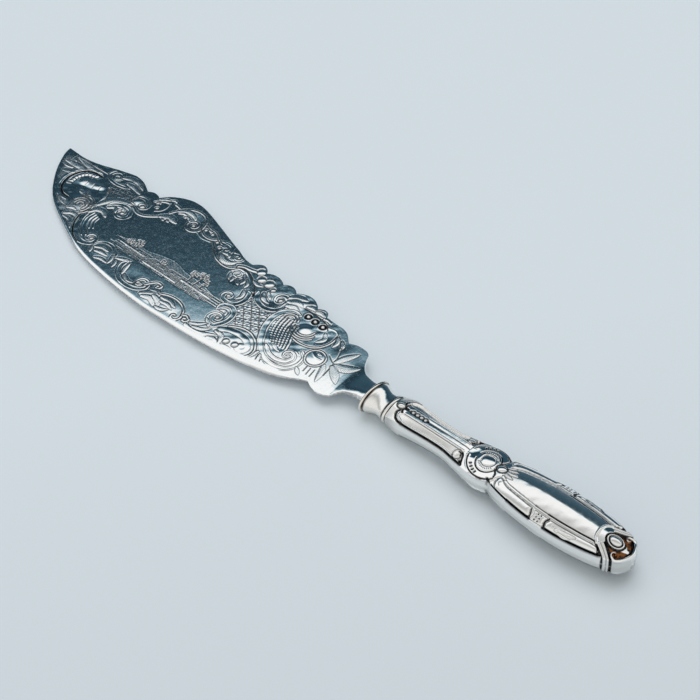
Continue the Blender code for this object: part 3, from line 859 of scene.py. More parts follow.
BLADE_STROKES: tuple[Stroke, ...] = (
    # Tip: spray of leaves and hooded shell
    leaf(1.5, (-180.5, 17.9, -186.5, 17.9, -193.9, 17), rise=1.1),
    leaf(1.2, (-176, 20.6, -184, 21, -191.8, 22.4)),
    leaf(0.8, (-187, 15.4, -190.4, 15, -193.4, 15.8), rise=1.2),
    leaf(1.3, (-184.4, 13.6, -187, 12.8, -189.6, 11.4), rise=0.8),
    leaf(0.7, (-189, 19.4, -190.8, 20.6, -191.2, 22), rise=1.6),
    line(0.18, (-188, 21.9, -180, 22, -171, 22.2), stain=0.4),
    wire(0.34, (-174, 21, -179.4, 20.4, -183.4, 16.8, -184.9, 12, -184.6, 7.4, -182.2, 2.6, -178.2, -0.4,
        -173.4, -0.6)),
    line(0.52, (-172.6, 19.6, -177.6, 19.3, -181.2, 17, -183.2, 13, -183.2, 8.6, -181.2, 4.2, -177.6, 1.4,
        -173.6, 1), rise=2.2),
    band(0.95, (-174.6, 18.3, -177.8, 17.4, -180, 15.2, -181, 12.2, -180.8, 9.4), rise=2, stain=0.3),
    line(0.2, (-175.2, 15.6, -174.4, 11.4), rise=0.8, stain=0.3),
    line(0.2, (-171.8, 16, -170.6, 11.8), rise=0.8, stain=0.35),
    line(0.2, (-168.6, 16.4, -167.4, 12.6), rise=0.8, stain=0.3),
    leaf(1.3, (-172.8, 7.4, -169.6, 7, -166, 5.2, -162.8, 1.8), rise=1.8),
    leaf(0.8, (-170, 8.8, -168.2, 8.2, -166.8, 7.2), rise=1.6),
    line(0.4, (-164.6, 16.4, -161.4, 12.4, -160.2, 7.4, -160.9, 2.4), rise=1.2, stain=0.6),
    wire(0.3, (-166.8, 17.6, -162.6, 12.8, -161.4, 7.6, -162.2, 2.6), rise=0.9),
    leaf(0.9, (-168.8, -3.6, -166.6, -2.4, -164.2, -2.6), rise=1.4),
    leaf(1.1, (-167, -7, -164.4, -4.8, -161, -5, -158.2, -8.4), rise=1.3),
    leaf(0.9, (-166.2, -8.2, -162, -8.4, -157.6, -12.2)),
    leaf(0.7, (-177.6, -0.8, -174.6, -2.2, -170.6, -3.4), rise=0.9),
    scroll(0.7, (-158, 21.8, -163.6, 20.5, -168.4, 20.9, -171.2, 23), (-167.5, 24), -1.3),
    leaf(1.3, (-165, 25.2, -161.4, 27, -157, 26.8, -152.6, 24.6)),
    leaf(1.2, (-160.8, 23.6, -156.4, 23.6, -151.6, 22), rise=1.2),
    # Left of the panel
    leaf(1.7, (-160.6, 5.6, -158.4, 10.6, -155, 13.8, -148.2, 15.6), rise=1.5),
    scroll(1.25, (-160, 4.6, -160.3, 0, -159, -5.2, -156.2, -9.6, -152.2, -13, -148, -14.2, -144.6, -12.9),
        (-146.6, -10.6), 1, rise=1.2),
    line(0.34, (-161.4, 1, -161, -4, -158.8, -8.8, -154.6, -13.2, -149.6, -15.6), rise=1.4),
    wire(0.34, (-157.4, 1.6, -157.4, -3.2, -154.8, -8, -151, -11.6), rise=1.1),
    wire(0.34, (-156, 1, -155.8, -3, -153.2, -7.4, -149.6, -10.4), rise=1.2),
    wire(0.32, (-154.6, 0.6, -154.2, -3, -151.8, -6.6), rise=1.2),
    wire(0.3, (-153.2, 0.2, -152.6, -2.8, -150.4, -5.6), rise=1.1),
    line(0.2, (-155.3, 0.8, -155, -3, -152.4, -7, -149.2, -9.6), stain=0.7),
    line(0.2, (-153.9, 0.4, -153.4, -3, -151, -6.2), stain=0.7),
    leaf(1.5, (-159.6, 0.6, -158.4, 3.4, -155.2, 4.4, -151.4, 2.2), rise=1.8),
    scroll(0.8, (-157, 8.6, -154.6, 11.6, -150.6, 13.2, -147, 12.6, -145, 9.6), (-148.6, 9), -1.2, rise=1.1),
    leaf(1, (-155.6, 7.4, -153.4, 9.4, -150.6, 7), rise=1.6),
    leaf(0.8, (-152.8, 10.6, -150.6, 11.2, -149.2, 9.6), rise=1.5),
    band(0.55, (-148.4, 14.8, -144, 13.1, -140.6, 13.6, -137.4, 15.8, -134.2, 18.8), rise=1.1, stain=0.8),
    leaf(1.9, (-134.8, 18.4, -131, 20.2, -126.4, 19.2), rise=1.5, stain=0.7),
    leaf(0.7, (-131.4, 18.6, -129.6, 17.4), rise=1.5),
    leaf(0.6, (-133.4, 17.8, -132, 16.8), rise=1.2),
    scroll(0.7, (-152, 17.4, -150.6, 20.8, -147, 21.6, -143.6, 19.8), (-145.6, 18), -0.9),
    leaf(0.8, (-143, 25.4, -140.6, 27.4, -138.2, 28.2), rise=1.6),
    leaf(0.7, (-141.6, 25, -139.6, 26.2, -137.6, 26.2), rise=1.5),
    leaf(0.6, (-138.8, 28.4, -137.2, 29.2, -135.8, 28.4), rise=1.5),
    leaf(0.6, (-135.8, 27.6, -133.4, 27.4, -131.8, 26.4), rise=1.4),
    line(0.2, (-137.4, 26.6, -136.4, 23.6, -137, 20.6, -139, 18.6), stain=0.6),
    leaf(0.7, (-143.6, 23.2, -141.8, 24.2, -140.4, 23.4), rise=1.4),
    # Above the panel
    band(0.42, (-133.4, 22, -132, 25, -130, 28, -127.2, 30.1, -123.8, 30.9, -120.2, 30.2, -117.4, 28,
        -116.2, 25), (-120.2, 23.2), -1.55),
    leaf(1.3, (-131.6, 25.6, -128.4, 27.9, -124.2, 27.6, -121.8, 25.8), rise=1.2),
    leaf(0.7, (-130.4, 24.6, -128.4, 25.9, -126, 25.2), rise=1.8),
    leaf(0.7, (-126.6, 25.4, -124.6, 25, -123, 23.4), rise=1.4),
    band(0.3, (-116.4, 27.6, -113, 26.4, -109.8, 26.2, -105, 23.6, -103.2, 22.8), rise=0.8),
    band(0.32, (-116, 23.4, -113.4, 21.9, -110.6, 21.4, -108.2, 22, -106.6, 23.2)),
    wire(0.26, (-116.2, 21.2, -112, 19.9, -107.8, 20.6), rise=0.8),
    leaf(0.7, (-113, 25.4, -111.2, 25.2, -109.4, 24), rise=1.2),
    scroll(0.55, (-103.8, 24.2, -101.2, 24.9, -98.2, 24.3, -96.7, 21.8), (-99.4, 21.6), -1.2),
    band(0.36, (-107.2, 21.2, -104, 19, -101.5, 16.8, -98.6, 15, -94.6, 14, -91, 14.3, -88.8, 16,
        -88, 18.2)),
    leaf(1.6, (-99, 18.6, -95.6, 16.4, -92.2, 17, -90.4, 19.6), rise=1.7),
    leaf(1, (-99.4, 19.4, -96.4, 20, -94.6, 18.6), rise=1.3),
    scroll(0.5, (-95.4, 22.4, -92.8, 23.8, -89.8, 22), (-92.2, 21.2), -1),
    band(0.7, (-88.4, 17.8, -86, 19, -83, 19.5, -80, 20.4), rise=1.2, stain=0.6),
    line(0.34, (-88.3, 16.6, -86.2, 18, -83.8, 18.2, -80.8, 17.2, -76.8, 14.8, -73.6, 11.8, -71.6, 9.8),
        stain=0.9),
    wire(0.34, (-85.8, 17.2, -83.6, 17.2, -81, 16.2, -77.6, 14, -74.4, 11, -72.4, 9)),
    line(0.6, (-72.2, 10.4, -71.4, 9.4), rise=2.4),
    scroll(0.55, (-88.6, 14.4, -87, 16.2, -84.6, 16.4, -82.8, 14.6), (-85.2, 14.2), -1.1),
    leaf(0.8, (-88, 13, -86.8, 11, -85.4, 9.4), rise=1.3),
    leaf(0.8, (-85.6, 11.8, -84.4, 9), rise=1.3),
    leaf(1, (-82.8, 15.6, -80.6, 13.6, -80.2, 10.4), rise=1.7),
    leaf(0.8, (-83.6, 12.4, -82, 10.6, -80.6, 9.4), rise=1.3),
    leaf(0.8, (-79.8, 14.2, -78, 12.2, -77.6, 10), rise=1.5),
    leaf(0.9, (-77.6, 15.6, -74.6, 14.9, -72, 15.6), rise=1.2),
    scroll(1.05, (-71.8, 12.8, -69.7, 9.5, -67, 7.8, -63.4, 7.2, -60, 8.5, -58, 11.2, -57.8, 14.2),
        (-61.5, 14.6), 1.2, rise=1.2),
    leaf(1.1, (-69.4, 13.2, -67.4, 10.8, -63.6, 9.9), rise=1.4),
    leaf(0.8, (-68.6, 14.8, -66.2, 13, -64.8, 11.8), rise=1.2),
    leaf(1.7, (-59.6, 18.4, -57, 20.4, -52.6, 21.4), rise=1.4, stain=0.5),
    leaf(1.7, (-58.6, 16.2, -55.2, 18, -51.8, 17.2), rise=1.4, stain=0.5),
    leaf(1.3, (-57.4, 14, -54, 15, -50.6, 13.8), rise=1.2, stain=0.5),
    # Right of the panel
    scroll(1, (-75.2, 9.9, -73.2, 8.4, -72.3, 4.8, -73.2, 1.6, -76, -0.2, -79.2, 0), (-78.8, 2.6), -1,
        rise=1.1),
    leaf(0.9, (-76.4, 8.8, -75, 6, -75.6, 3), rise=1.3),
    scroll(1, (-77.2, -5.8, -76.9, -3.2, -75.2, -1.5, -72.4, -1.3, -70, -3.4, -69.1, -7, -69.8, -10.2,
        -71.4, -13), (-73.4, -9.4), -1, rise=1.3),
    leaf(0.9, (-76.2, -12.2, -74.2, -13.2, -72.4, -15.2), rise=1.3),
    leaf(0.8, (-75.4, -5.2, -73.4, -4.6, -71.8, -6.4), rise=1.4),
    # Shell
    scroll(1.2, (-49.2, 13.4, -53.4, 12.6, -56, 10, -57, 6, -56.4, 2, -54.6, -2.4, -51.2, -7.4, -47, -11.2,
        -42, -13.3, -37, -13, -33.4, -10.8, -31.6, -7, -32.2, -3, -34.6, -1), rise=1.3),
    wire(0.36, (-38, -4.4, -36.8, -2.7, -34.9, -2.9), rise=1.6),
    scroll(0.9, (-48.6, -7, -44.8, -9.8, -40.4, -10.6, -36.4, -9.2, -35, -6.6), (-37.8, -6.2), 1, rise=1.4),
    leaf(1, (-48, -3, -45, -5.6, -41.6, -6.8), rise=1.2, stain=0.6),
    # Heel
    leaf(1.2, (-50.6, 18.9, -48.4, 19.8, -46, 19.1), rise=1.9),
    leaf(1.2, (-45.8, 18.9, -43.6, 19.7, -41.2, 18.9), rise=1.9),
    leaf(1, (-41, 18.1, -38.8, 18.7, -36.6, 17.5), rise=1.9),
    line(0.26, (-51, 17.5, -46, 17.7, -40, 17, -37.2, 15.9, -35.8, 14.4), stain=0.9),
    wire(0.4, (-36, 15.4, -32.8, 16, -30.2, 14.6), rise=1.4),
    band(0.36, (-30.2, 14.6, -29.8, 10, -31.2, 5.8, -34, 3, -37.4, 1.9, -41.4, 1.8, -45.6, 3.2, -48.6, 5.6),
        rise=1.2),
    leaf(1, (-35, 12.4, -33.2, 9.6, -34.8, 6.2), rise=0.8, stain=0.4),
    wire(0.5, (-31.8, 1.6, -29, 0.2, -26.4, 0.4), rise=1.6),
    leaf(0.8, (-29.6, 2.6, -27.6, 2.2), rise=1.3, stain=0.4),
    leaf(1, (-29.6, 14, -28, 11.4, -27.8, 8.4), rise=1.4),
    leaf(1, (-27, 13.4, -25.2, 11.6, -24.4, 9), rise=1.4),
    line(0.26, (-24.6, 10.6, -22.4, 5.8, -21.2, 1, -20.4, -4.6), stain=0.75),
    line(0.24, (-25.6, 4.6, -21.6, 2.4, -18, 1.2), stain=0.6),
    leaf(1.5, (-21.2, 3.4, -19.4, 8, -17, 12.8), rise=0.7, stain=0.8),
    leaf(2.1, (-20, 2, -16, 3.2, -11.4, 7), rise=0.7, stain=0.8),
    leaf(1.7, (-20.6, 0.8, -17.4, -1.4, -13.6, -5), rise=0.7, stain=0.8),
    leaf(1.2, (-23.8, -0.6, -22, -4, -20.6, -9), rise=0.8, stain=0.8),
    line(0.2, (-28.4, -5, -28, -7.8), stain=0.8),
    line(0.2, (-26.6, -5, -26, -8.4), stain=0.7),
    line(0.2, (-24.8, -4.6, -24.2, -8.4), stain=0.7),
    leaf(0.8, (-31, -8.2, -28, -10.6)),
    leaf(0.8, (-48.2, -11.8, -48.8, -14.6, -49.2, -17.6), rise=1.3),
    leaf(0.8, (-46.4, -12.6, -45.4, -15, -44, -17.2), rise=1.3),
    leaf(0.8, (-44, -14.4, -42.6, -15.4, -40.8, -16), rise=1.3),
    # Below the panel
    scroll(0.75, (-129.8, -12.4, -131.6, -10, -134.2, -8.3, -137.2, -7.7, -140.2, -8.3, -142.2, -10.2,
        -142.6, -13.2)),
    leaf(1.4, (-141, -12.6, -138.2, -10.8, -134.4, -11.6), rise=1.5),
    leaf(1, (-139.4, -14.4, -136.6, -13.6, -132.6, -13.6), rise=1.2),
    leaf(0.9, (-136.4, -17.4, -133.6, -16.2, -129.4, -16.6), rise=1.3),
    leaf(0.8, (-142.2, -13.4, -141.4, -15, -140.4, -16.4)),
    leaf(0.8, (-131.4, -11.8, -130.2, -14.2, -129.6, -16.6), rise=1.2),
    leaf(0.8, (-128.6, -12.6, -127.4, -14.8, -126.6, -17), rise=1.2),
    leaf(1, (-129.4, -11.8, -126.4, -10.4, -122.8, -9), rise=1.7),
    scroll(0.95, (-124.2, -9.8, -124.7, -12.8, -123, -16.4, -119.6, -19.2, -114.8, -20, -110.4, -19.2,
        -107.4, -16.8), (-110.8, -15.6), 1, rise=1.3),
    leaf(1, (-122.6, -11, -121.9, -14, -120.4, -17), rise=1.8),
    leaf(0.9, (-119.6, -16.2, -116.2, -17.9, -112.8, -17.4), rise=1.3),
    band(0.45, (-108.8, -15, -107.4, -12.8, -105.6, -10.8, -103.4, -10.7), (-104, -12.3), -0.8, rise=1.3),
    leaf(1.7, (-106.4, -19.4, -103.4, -16.8, -99.6, -14.6), rise=1.4, stain=0.6),
    leaf(1.3, (-104.6, -15.4, -102, -14.4, -99.2, -16.2), rise=1.3, stain=0.6),
    leaf(1.4, (-105, -20.2, -101.2, -19, -97.4, -21.4), rise=1.4, stain=0.6),
    leaf(1.3, (-101.6, -17, -98.4, -17.8, -95.8, -20.2), rise=1.4, stain=0.6),
    band(0.4, (-100.2, -14.7, -97, -13.2, -93, -12.6, -89, -13.4, -86.2, -15.4, -84.6, -18.2), (-87, -19.6),
        -0.8, rise=1.2),
    leaf(1.2, (-98.2, -15.6, -94, -15, -89.6, -16.6), rise=1.1, stain=0.6),
    leaf(1, (-96.8, -17.6, -93.6, -17, -90.2, -18.2), rise=1.2, stain=0.6),
    leaf(0.9, (-96.4, -21, -93.2, -20.4, -91.2, -18.8), rise=1.5),
    band(0.4, (-84.8, -17.2, -83, -16.4, -81, -17.4), (-82.5, -18.2), -0.8),
    leaf(1.2, (-80.4, -19.9, -75.6, -20.6, -71.2, -19, -65.6, -15.6), rise=1.2, stain=0.6),
    leaf(0.9, (-79.4, -18.2, -76.4, -16.4, -74, -13.8), rise=1.2),
    leaf(0.9, (-77.2, -19, -73.2, -17.5, -70.6, -14.8), rise=1.2),
    leaf(1.1, (-68.6, -14.6, -65.6, -14.9, -63.8, -17.2, -62.6, -19.8), rise=1.5),
    leaf(0.9, (-68.8, -19.2, -66.4, -18.2, -63.6, -19.2), rise=1.2),
    band(1.2, (-68, -13, -65.5, -11.2, -62, -10.3, -58, -10.2, -55, -11.2, -52.8, -13.2), (-54.8, -14.6),
        -0.85, rise=0.9, stain=0.5),
    band(0.42, (-66.4, -9.4, -62, -7.1, -58, -6.6, -54, -7.8, -51, -10.5, -49.5, -13, -49.6, -16,
        -51.6, -18.3, -54.2, -18), rise=1.1),
    leaf(0.9, (-62.6, -19.4, -59.6, -18.4, -57, -18), rise=1.3),
)

# Small bosses of the blade: centre, radius, rise in millimetres, darkness of the ring round it
BLADE_BEADS: tuple[tuple[Point, float, float, float], ...] = (
    ((-145.2, 17.4), 1, 0.3, 0.6), ((-142, 23.4), 0.6, 0.2, 0.5), ((-140, 21), 0.6, 0.2, 0.5),
    ((-126.6, 24.6), 0.5, 0.18, 0.5), ((-114.4, 24.7), 0.6, 0.2, 0.5), ((-110.3, 24.5), 0.6, 0.2, 0.5),
    ((-105.4, 22.4), 0.6, 0.2, 0.6), ((-102.2, 20.5), 0.6, 0.2, 0.6), ((-78.8, 21.3), 1.7, 0.32, 0.4),
    ((-75.6, 18.2), 1.6, 0.3, 0.5), ((-71.4, 18.3), 1.9, 0.32, 0.5), ((-67.8, 16.8), 0.9, 0.22, 0.5),
    ((-146.2, -10.2), 0.7, 0.24, 0.6), ((-73.5, -8.9), 0.7, 0.22, 0.6), ((-79, 2.7), 0.7, 0.22, 0.5),
    ((-120.4, 23.3), 0.6, 0.22, 0.6), ((-112, -15.7), 0.7, 0.24, 0.6), ((-61.4, 14.4), 0.9, 0.28, 0.7),
    ((-148.6, 9), 0.8, 0.26, 0.6), ((-61.6, -16), 1.2, 0.22, 0.5), ((-57.6, -15.2), 1.2, 0.22, 0.5),
)

# Pierced-looking bosses of the heel: centre
HEEL_BOSSES: Path = ((-46.6, 14.9), (-42.6, 14.6), (-38.3, 14.3))

# Broad mounds and hollows of the sheet: centre, radii, rise
BLADE_SWELLS: tuple[tuple[Point, Point, float], ...] = (
    ((-174.5, 10.4), (9, 9.5), -0.42), ((-172.6, 13.6), (6.4, 3.2), 0.42),
    ((-168.2, 14.4), (3.2, 2.6), 0.26), ((-176.2, 12.4), (3, 2.6), 0.25), ((-177.4, 5.4), (4, 3), 0.16),
    ((-166, 1.5), (6.5, 6), 0.28), ((-149.6, 18.4), (3.4, 3.2), 0.26), ((-158, 11.5), (5, 5), 0.2),
    ((-147, 10), (5, 5), -0.16), ((-122, 25), (8, 6), -0.22), ((-96, 19), (7, 6), 0.16),
    ((-84, 13), (5.5, 5.5), -0.16), ((-63.5, 11.5), (6, 5.5), -0.18), ((-55, 18), (5, 5), 0.3),
    ((-75, 4), (5, 5.5), -0.12), ((-73, -7), (5, 6), -0.14), ((-50, 4), (8, 9.5), -0.3),
    ((-38, -6), (8, 8), 0.22), ((-33.2, 9.6), (4.5, 7), -0.12), ((-28.8, 0), (4.8, 4.8), 0.2),
    ((-115.5, -15), (8.5, 5.5), -0.1), ((-102, -17.5), (6.5, 5), 0.22), ((-137, -12.5), (6.5, 5), 0.16),
    ((-93, -16.8), (7, 4.5), 0.14), ((-59, -14), (9, 6.5), 0.18), ((-22, 8), (5, 7), 0.12),
    ((-42.5, 8.8), (3.8, 3.4), 0.4),
)

# Rings and arcs of the blade: centre, radius, start and end angle, half width
BLADE_ARCS: tuple[tuple[Point, float, float, float, float], ...] = (
    ((-166, 1.2), 1.5, -30, 200, 0.3), ((-166, 1.2), 2.9, -30, 195, 0.3), ((-166, 1.2), 4.3, -40, 170, 0.32),
    ((-166, 1.2), 5.7, -50, 120, 0.32), ((-42.5, 9.5), 4, 195, 365, 0.32),
    ((-42.5, 9.5), 5.2, 200, 345, 0.32), ((-42.5, 9.5), 6.3, 205, 330, 0.32),
    ((-28.8, 0), 4.2, 0, 360, 0.34), ((-51, 9), 3.4, 20, 175, 0.34), ((-51, 9), 2.1, 10, 180, 0.32),
    ((-149.5, 18.5), 2.3, 90, 280, 0.3),
)

# Matted grounds of the tip: spray, hood and lower edge
TIP_GROUNDS: tuple[Path, ...] = (
    ((-196, 19), (-191, 24), (-172, 23.4), (-176, 20.6), (-182, 17.6), (-185, 12), (-184.6, 6), (-188, 7)),
    ((-178.4, 12), (-174, 15.4), (-168, 16.6), (-165.4, 14), (-170, 11.8), (-174.6, 10.4)),
    ((-184, 4), (-180, 0), (-172, 0.4), (-170, 6), (-162.6, 6), (-161.6, -4), (-157, -12), (-166, -10),
        (-176, -4)),
)

# Cross-cut fields of the blade: tip, heel and shell
TIP_DIAPER: Path = (
    (-167, 20), (-164.5, 15.5), (-162, 10.5), (-158.5, 13.6), (-154, 16.2), (-150.6, 18.4), (-151.6, 20.4),
    (-157, 20.8), (-162, 19.6),
)
HEEL_DIAPER: Path = (
    (-72.2, 8.6), (-69, 7.6), (-66, 6.4), (-61, 6.2), (-58.4, 7.6), (-57.8, 3), (-56.6, -1), (-53.6, -5.4),
    (-57, -5.6), (-62, -6.2), (-66.8, -8.4), (-68.4, -5), (-71, -2), (-71.6, 1), (-71.2, 5),
)
SHELL_FIELD: Path = ((-55.4, 9), (-50, 10.4), (-46, 6), (-42, -3), (-47.4, -5.4), (-53.4, -0.4))

# Landscape: edge of the water, top and foot of the range, bright strips of water, trunks
WATER: Path = (
    (-143, -3.6), (-120, -1.8), (-84, -1.8), (-80.6, -3.6), (-86, -6.6), (-104, -7.6), (-128, -6.8),
)
RIDGE: Path = (
    (-140, -2.2), (-134, -0.2), (-129, 0.4), (-123, -0.2), (-116, 1.6), (-109, 2.6), (-102, 1), (-94, 0.6),
    (-87, -0.6), (-82, -2),
)
RANGE_FOOT: Path = ((-96, -2.1), (-124, -2.1))
BRIGHT_WATER: tuple[Path, ...] = (
    ((-136, -3.3), (-122, -3.5)), ((-120, -5.9), (-101, -6.1)), ((-100, -3.4), (-84, -3.6)),
)
TRUNKS: tuple[Path, ...] = (
    ((-97.6, -1.8), (-97.8, 1.6)), ((-94, -1.8), (-93.8, 2.6)), ((-90.8, -1.8), (-90.9, 0.8)),
)

# Foliage of the landscape: middle and radius of each clump
FOLIAGE: tuple[tuple[Point, float], ...] = (
    ((-98, 2.2), 1.9), ((-93.9, 3.6), 2.4), ((-90.6, 1.5), 1.6), ((-128.6, 0.2), 2.1), ((-132, -1), 1.5),
    ((-112.6, -1.4), 1.2),
)

# Blade outline: percent of the length back from the collar, percent of the width off the axis
TIP_SPINE: Path = (
    (100, 40.9), (97.7, 40.4), (95.3, 40), (92.8, 40.9), (90.3, 42.9), (87.8, 45.7), (85.3, 48.2),
    (82.8, 50.4), (81.4, 51.1), (79.3, 49.9), (77.8, 47.7), (76.2, 44.5),
)
SMALL_LOBE = ((76.2, 44.5, 1.1), (72.8, 45.1, 0))
HUMP_SPINE: Path = (
    (72.8, 45.1), (71.4, 50.8), (69.4, 55.2), (67.4, 57.9), (65.4, 58.9), (63.4, 58.6), (60.4, 56.2),
    (55.4, 50.8), (50.4, 45.1), (47.8, 42.4), (45.3, 39.2), (43.3, 38.2), (42.7, 38.7),
)
LOBE_ROW = (
    (42.7, 38.7, 2.5), (38.7, 38.7, 1.55), (33.9, 37.8, 1.65), (30.1, 37.3, 2.75), (23.7, 35.8, 1.95),
    (20.5, 33.6, 0),
)
HEEL_SPINE: Path = ((20.5, 33.6), (18.2, 33), (16.2, 32.9), (14.7, 31.5), (13.7, 29.1), (12.4, 25.2))
SHOULDER_SPINE: Path = (
    (12.4, 25.2), (11, 27), (9.6, 27.6), (8.1, 27.1), (7.1, 24.7), (6.6, 21.3), (5.6, 15.7), (4.5, 12.1),
    (3.5, 10.2), (1.5, 8.6),
)
SHOULDER_BELLY: Path = (
    (1.5, -8), (3.5, -9.2), (4.5, -10.9), (5.3, -14.5), (6, -18.6), (7.3, -20.6), (8.5, -21.1), (10, -20.3),
    (11.6, -17.9),
)
BELLY: Path = (
    (11.6, -17.9), (13.5, -20.5), (15.1, -23.6), (17.5, -27.6), (20.1, -30.6), (25.1, -34.2), (30.1, -36.6),
    (35.1, -38.5), (40.1, -39.7), (45.1, -40.5), (50.1, -41.1), (55.2, -40.5), (60.2, -39.1), (65.2, -37),
    (70.2, -34.1), (75.2, -29.5), (80.2, -22.6), (85.2, -14.9), (87.7, -10.6), (90.2, -5.3), (92.7, 2),
    (95.2, 11.3), (97, 19.3), (98.5, 27.6), (99.5, 34.4), (100, 40.9),
)

# Neck: distance along the axis, how far the sheet thickens above and below
NECK: tuple[Point, ...] = (
    (-14.5, 0), (-12, 0.07), (-9, 0.34), (-6, 0.82), (-3, 1.36), (0, 1.84), (3.2, 2.05),
)


@dataclass
class Blade:
    """The engraved sheet, which thickens into the neck at the collar."""

    length: float = 198.0
    width: float = 58.7
    thickness: float = 1.2
    land: float = 0.5
    belly_bevel: float = 3.3
    spine_bevel: float = 0.3
    point_thinner: float = 1.35
    cuts: Point = (-130.0, -64.0)
    dent: float = 0.1
    # Distance along the axis, rate of the bow and the line across the axis that it starts from
    bow: tuple[Triple, ...] = (
        (-112.0, 0.0001, 2.0), (-74.0, 0.0010, 3.0), (-46.0, 0.0018, 4.0), (-30.0, 0.0026, 8.0),
        (-12.0, 0.0027, 8.0), (0.0, 0.0022, 0.0),
    )
    hood: Point = (-174.5, 10.6)
    inside: float = 3.0
    stations: int = 990
    rows: int = 236
    # Frosted parts take a blue-tinted matt tone, a painted reflection of the blue surroundings.
    finish: Silver = Silver(
        "engraved_silver", (0.945, 0.95, 0.95), roughness=0.035, ripple=0.018, speckle=0.16,
        matt=(0.82, 0.86, 0.875),
    )

    def plan(self, rows: tuple) -> Array:
        """Percent rows as millimetres on the blade's plane."""
        share = np.array(rows, dtype=float)[:, :2] / 100.0
        return np.column_stack([-share[:, 0] * self.length, share[:, 1] * self.width])

    def lobes(self, rows: tuple) -> Array:
        """Arcs between notches: each rises off its chord as sin(pi t)^0.8 by its own amount.

        Args:
            rows: percent rows of the notches, each with the rise in millimetres of the arc after it.

        Returns:
            The arcs' points, in order.
        """
        steps = 12
        corners = self.plan(rows)
        turn = np.arange(steps)[:, None] / steps
        bulge = np.sin(math.pi * turn) ** 0.8
        arcs = []
        for start, end, row in zip(corners[:-1], corners[1:], rows[:-1]):
            chord = end - start
            normal = np.array([-chord[1], chord[0]]) / np.hypot(*chord)
            arcs.append(start + turn * chord + bulge * row[2] * normal)
        return np.concatenate(arcs)

    def edges(self, x: Array) -> tuple[Array, Array]:
        """Spine and belly of the outline.

        Args:
            x: places along the axis.

        Returns:
            Distances off the axis of the spine and of the belly.
        """
        spine = np.concatenate([
            flowing(self.plan(TIP_SPINE), 4),
            self.lobes(SMALL_LOBE),
            flowing(self.plan(HUMP_SPINE), 4),
            self.lobes(LOBE_ROW),
            flowing(self.plan(HEEL_SPINE), 4),
            flowing(self.plan(SHOULDER_SPINE), 4),
        ])
        belly = np.concatenate([flowing(self.plan(SHOULDER_BELLY), 4), flowing(self.plan(BELLY), 6)])[::-1]
        return np.interp(x, spine[:, 0], spine[:, 1]), np.interp(x, belly[:, 0], belly[:, 1])

    def carve(self, x: Array, y: Array) -> Carving:
        """Work all the ornament of the upper face.

        Args:
            x: places along the axis.
            y: places across it.

        Returns:
            The relief.
        """
        work = Carving(x, y, band_rise=0.08, leaf_rise=0.1, cut_depth=0.1, leaf_frost=0.25)
        for centre, radius, rise in BLADE_SWELLS:
            work.swell(centre, radius, rise)
        heel = ease(x, -78.0, -68.0) * (1.0 - ease(x, -36.0, -28.0))
        busy = heel + 1.0 - ease(x, -158.0, -150.0)
        work.form += self.dent * (grain(0.6 * x, 0.6 * y, 17) - 0.5) * busy
        for seed, ground in enumerate(TIP_GROUNDS):
            work.matt(np.array(ground), amount=0.28, edge=1.6, seed=30 + seed)
        self.landscape(work)
        tip_field, heel_field = np.array(TIP_DIAPER), np.array(HEEL_DIAPER)
        work.diaper(tip_field, lines=(1.9, -66.0), rows=(1.9, 8.0), cross=0.9, depth=0.03, dot=0.02)
        work.diaper(heel_field, lines=(3.1, -47.0), rows=(1.3, 22.0), cross=0.35, depth=0.08, dot=0.07)
        for stroke in BLADE_STROKES:
            work.work(stroke)
        self.shell(work)
        for centre, radius, start, end, half in BLADE_ARCS:
            work.follow(Tool.BAND, arc(centre, (radius, radius), start, end), half, rise=1.1, stain=0.9)
        for centre, radius, rise, ring in BLADE_BEADS:
            work.oval(centre, (radius, radius), rise, ring)
        for centre in HEEL_BOSSES:
            work.swell(centre, (2.6, 2.4), 0.3)
            work.follow(Tool.LINE, arc(centre, (1.25, 1.2), 0.0, 360.0), 0.5, rise=3.4)
            work.oval(centre, (0.55, 0.55), rise=0.3, ring=0.0)
        for angle in np.radians(np.arange(95.0, 216.0, 13.0)):
            work.follow(Tool.LINE, spoke(self.hood, (5.6, 7.4), angle), 0.2, stain=0.8)
        return work

    def shell(self, work: Carving) -> None:
        """Ribs of the shell: curves that share their ends' spacing, with short cross cuts between them.

        Args:
            work: the face.
        """
        for k in range(7):
            top = -54.6 + 1.5 * k
            rib = flowing((
                (top, 9.6 - 0.3 * k), (top + 0.8, 4.2), (top + 2.9 + 0.1 * k, -0.8),
                (top + 6.2 - 0.2 * k, -5.0 + 0.09 * k),
            ))
            work.follow(Tool.WIRE, rib, 0.36, rise=1.1)
            work.follow(Tool.LINE, rib + np.array([0.62, 0.25]), 0.18, rise=0.9, stain=0.6)
        work.hatch(np.array(SHELL_FIELD), pitch=1.3, lean=24.0, depth=0.04, stain=0.2)

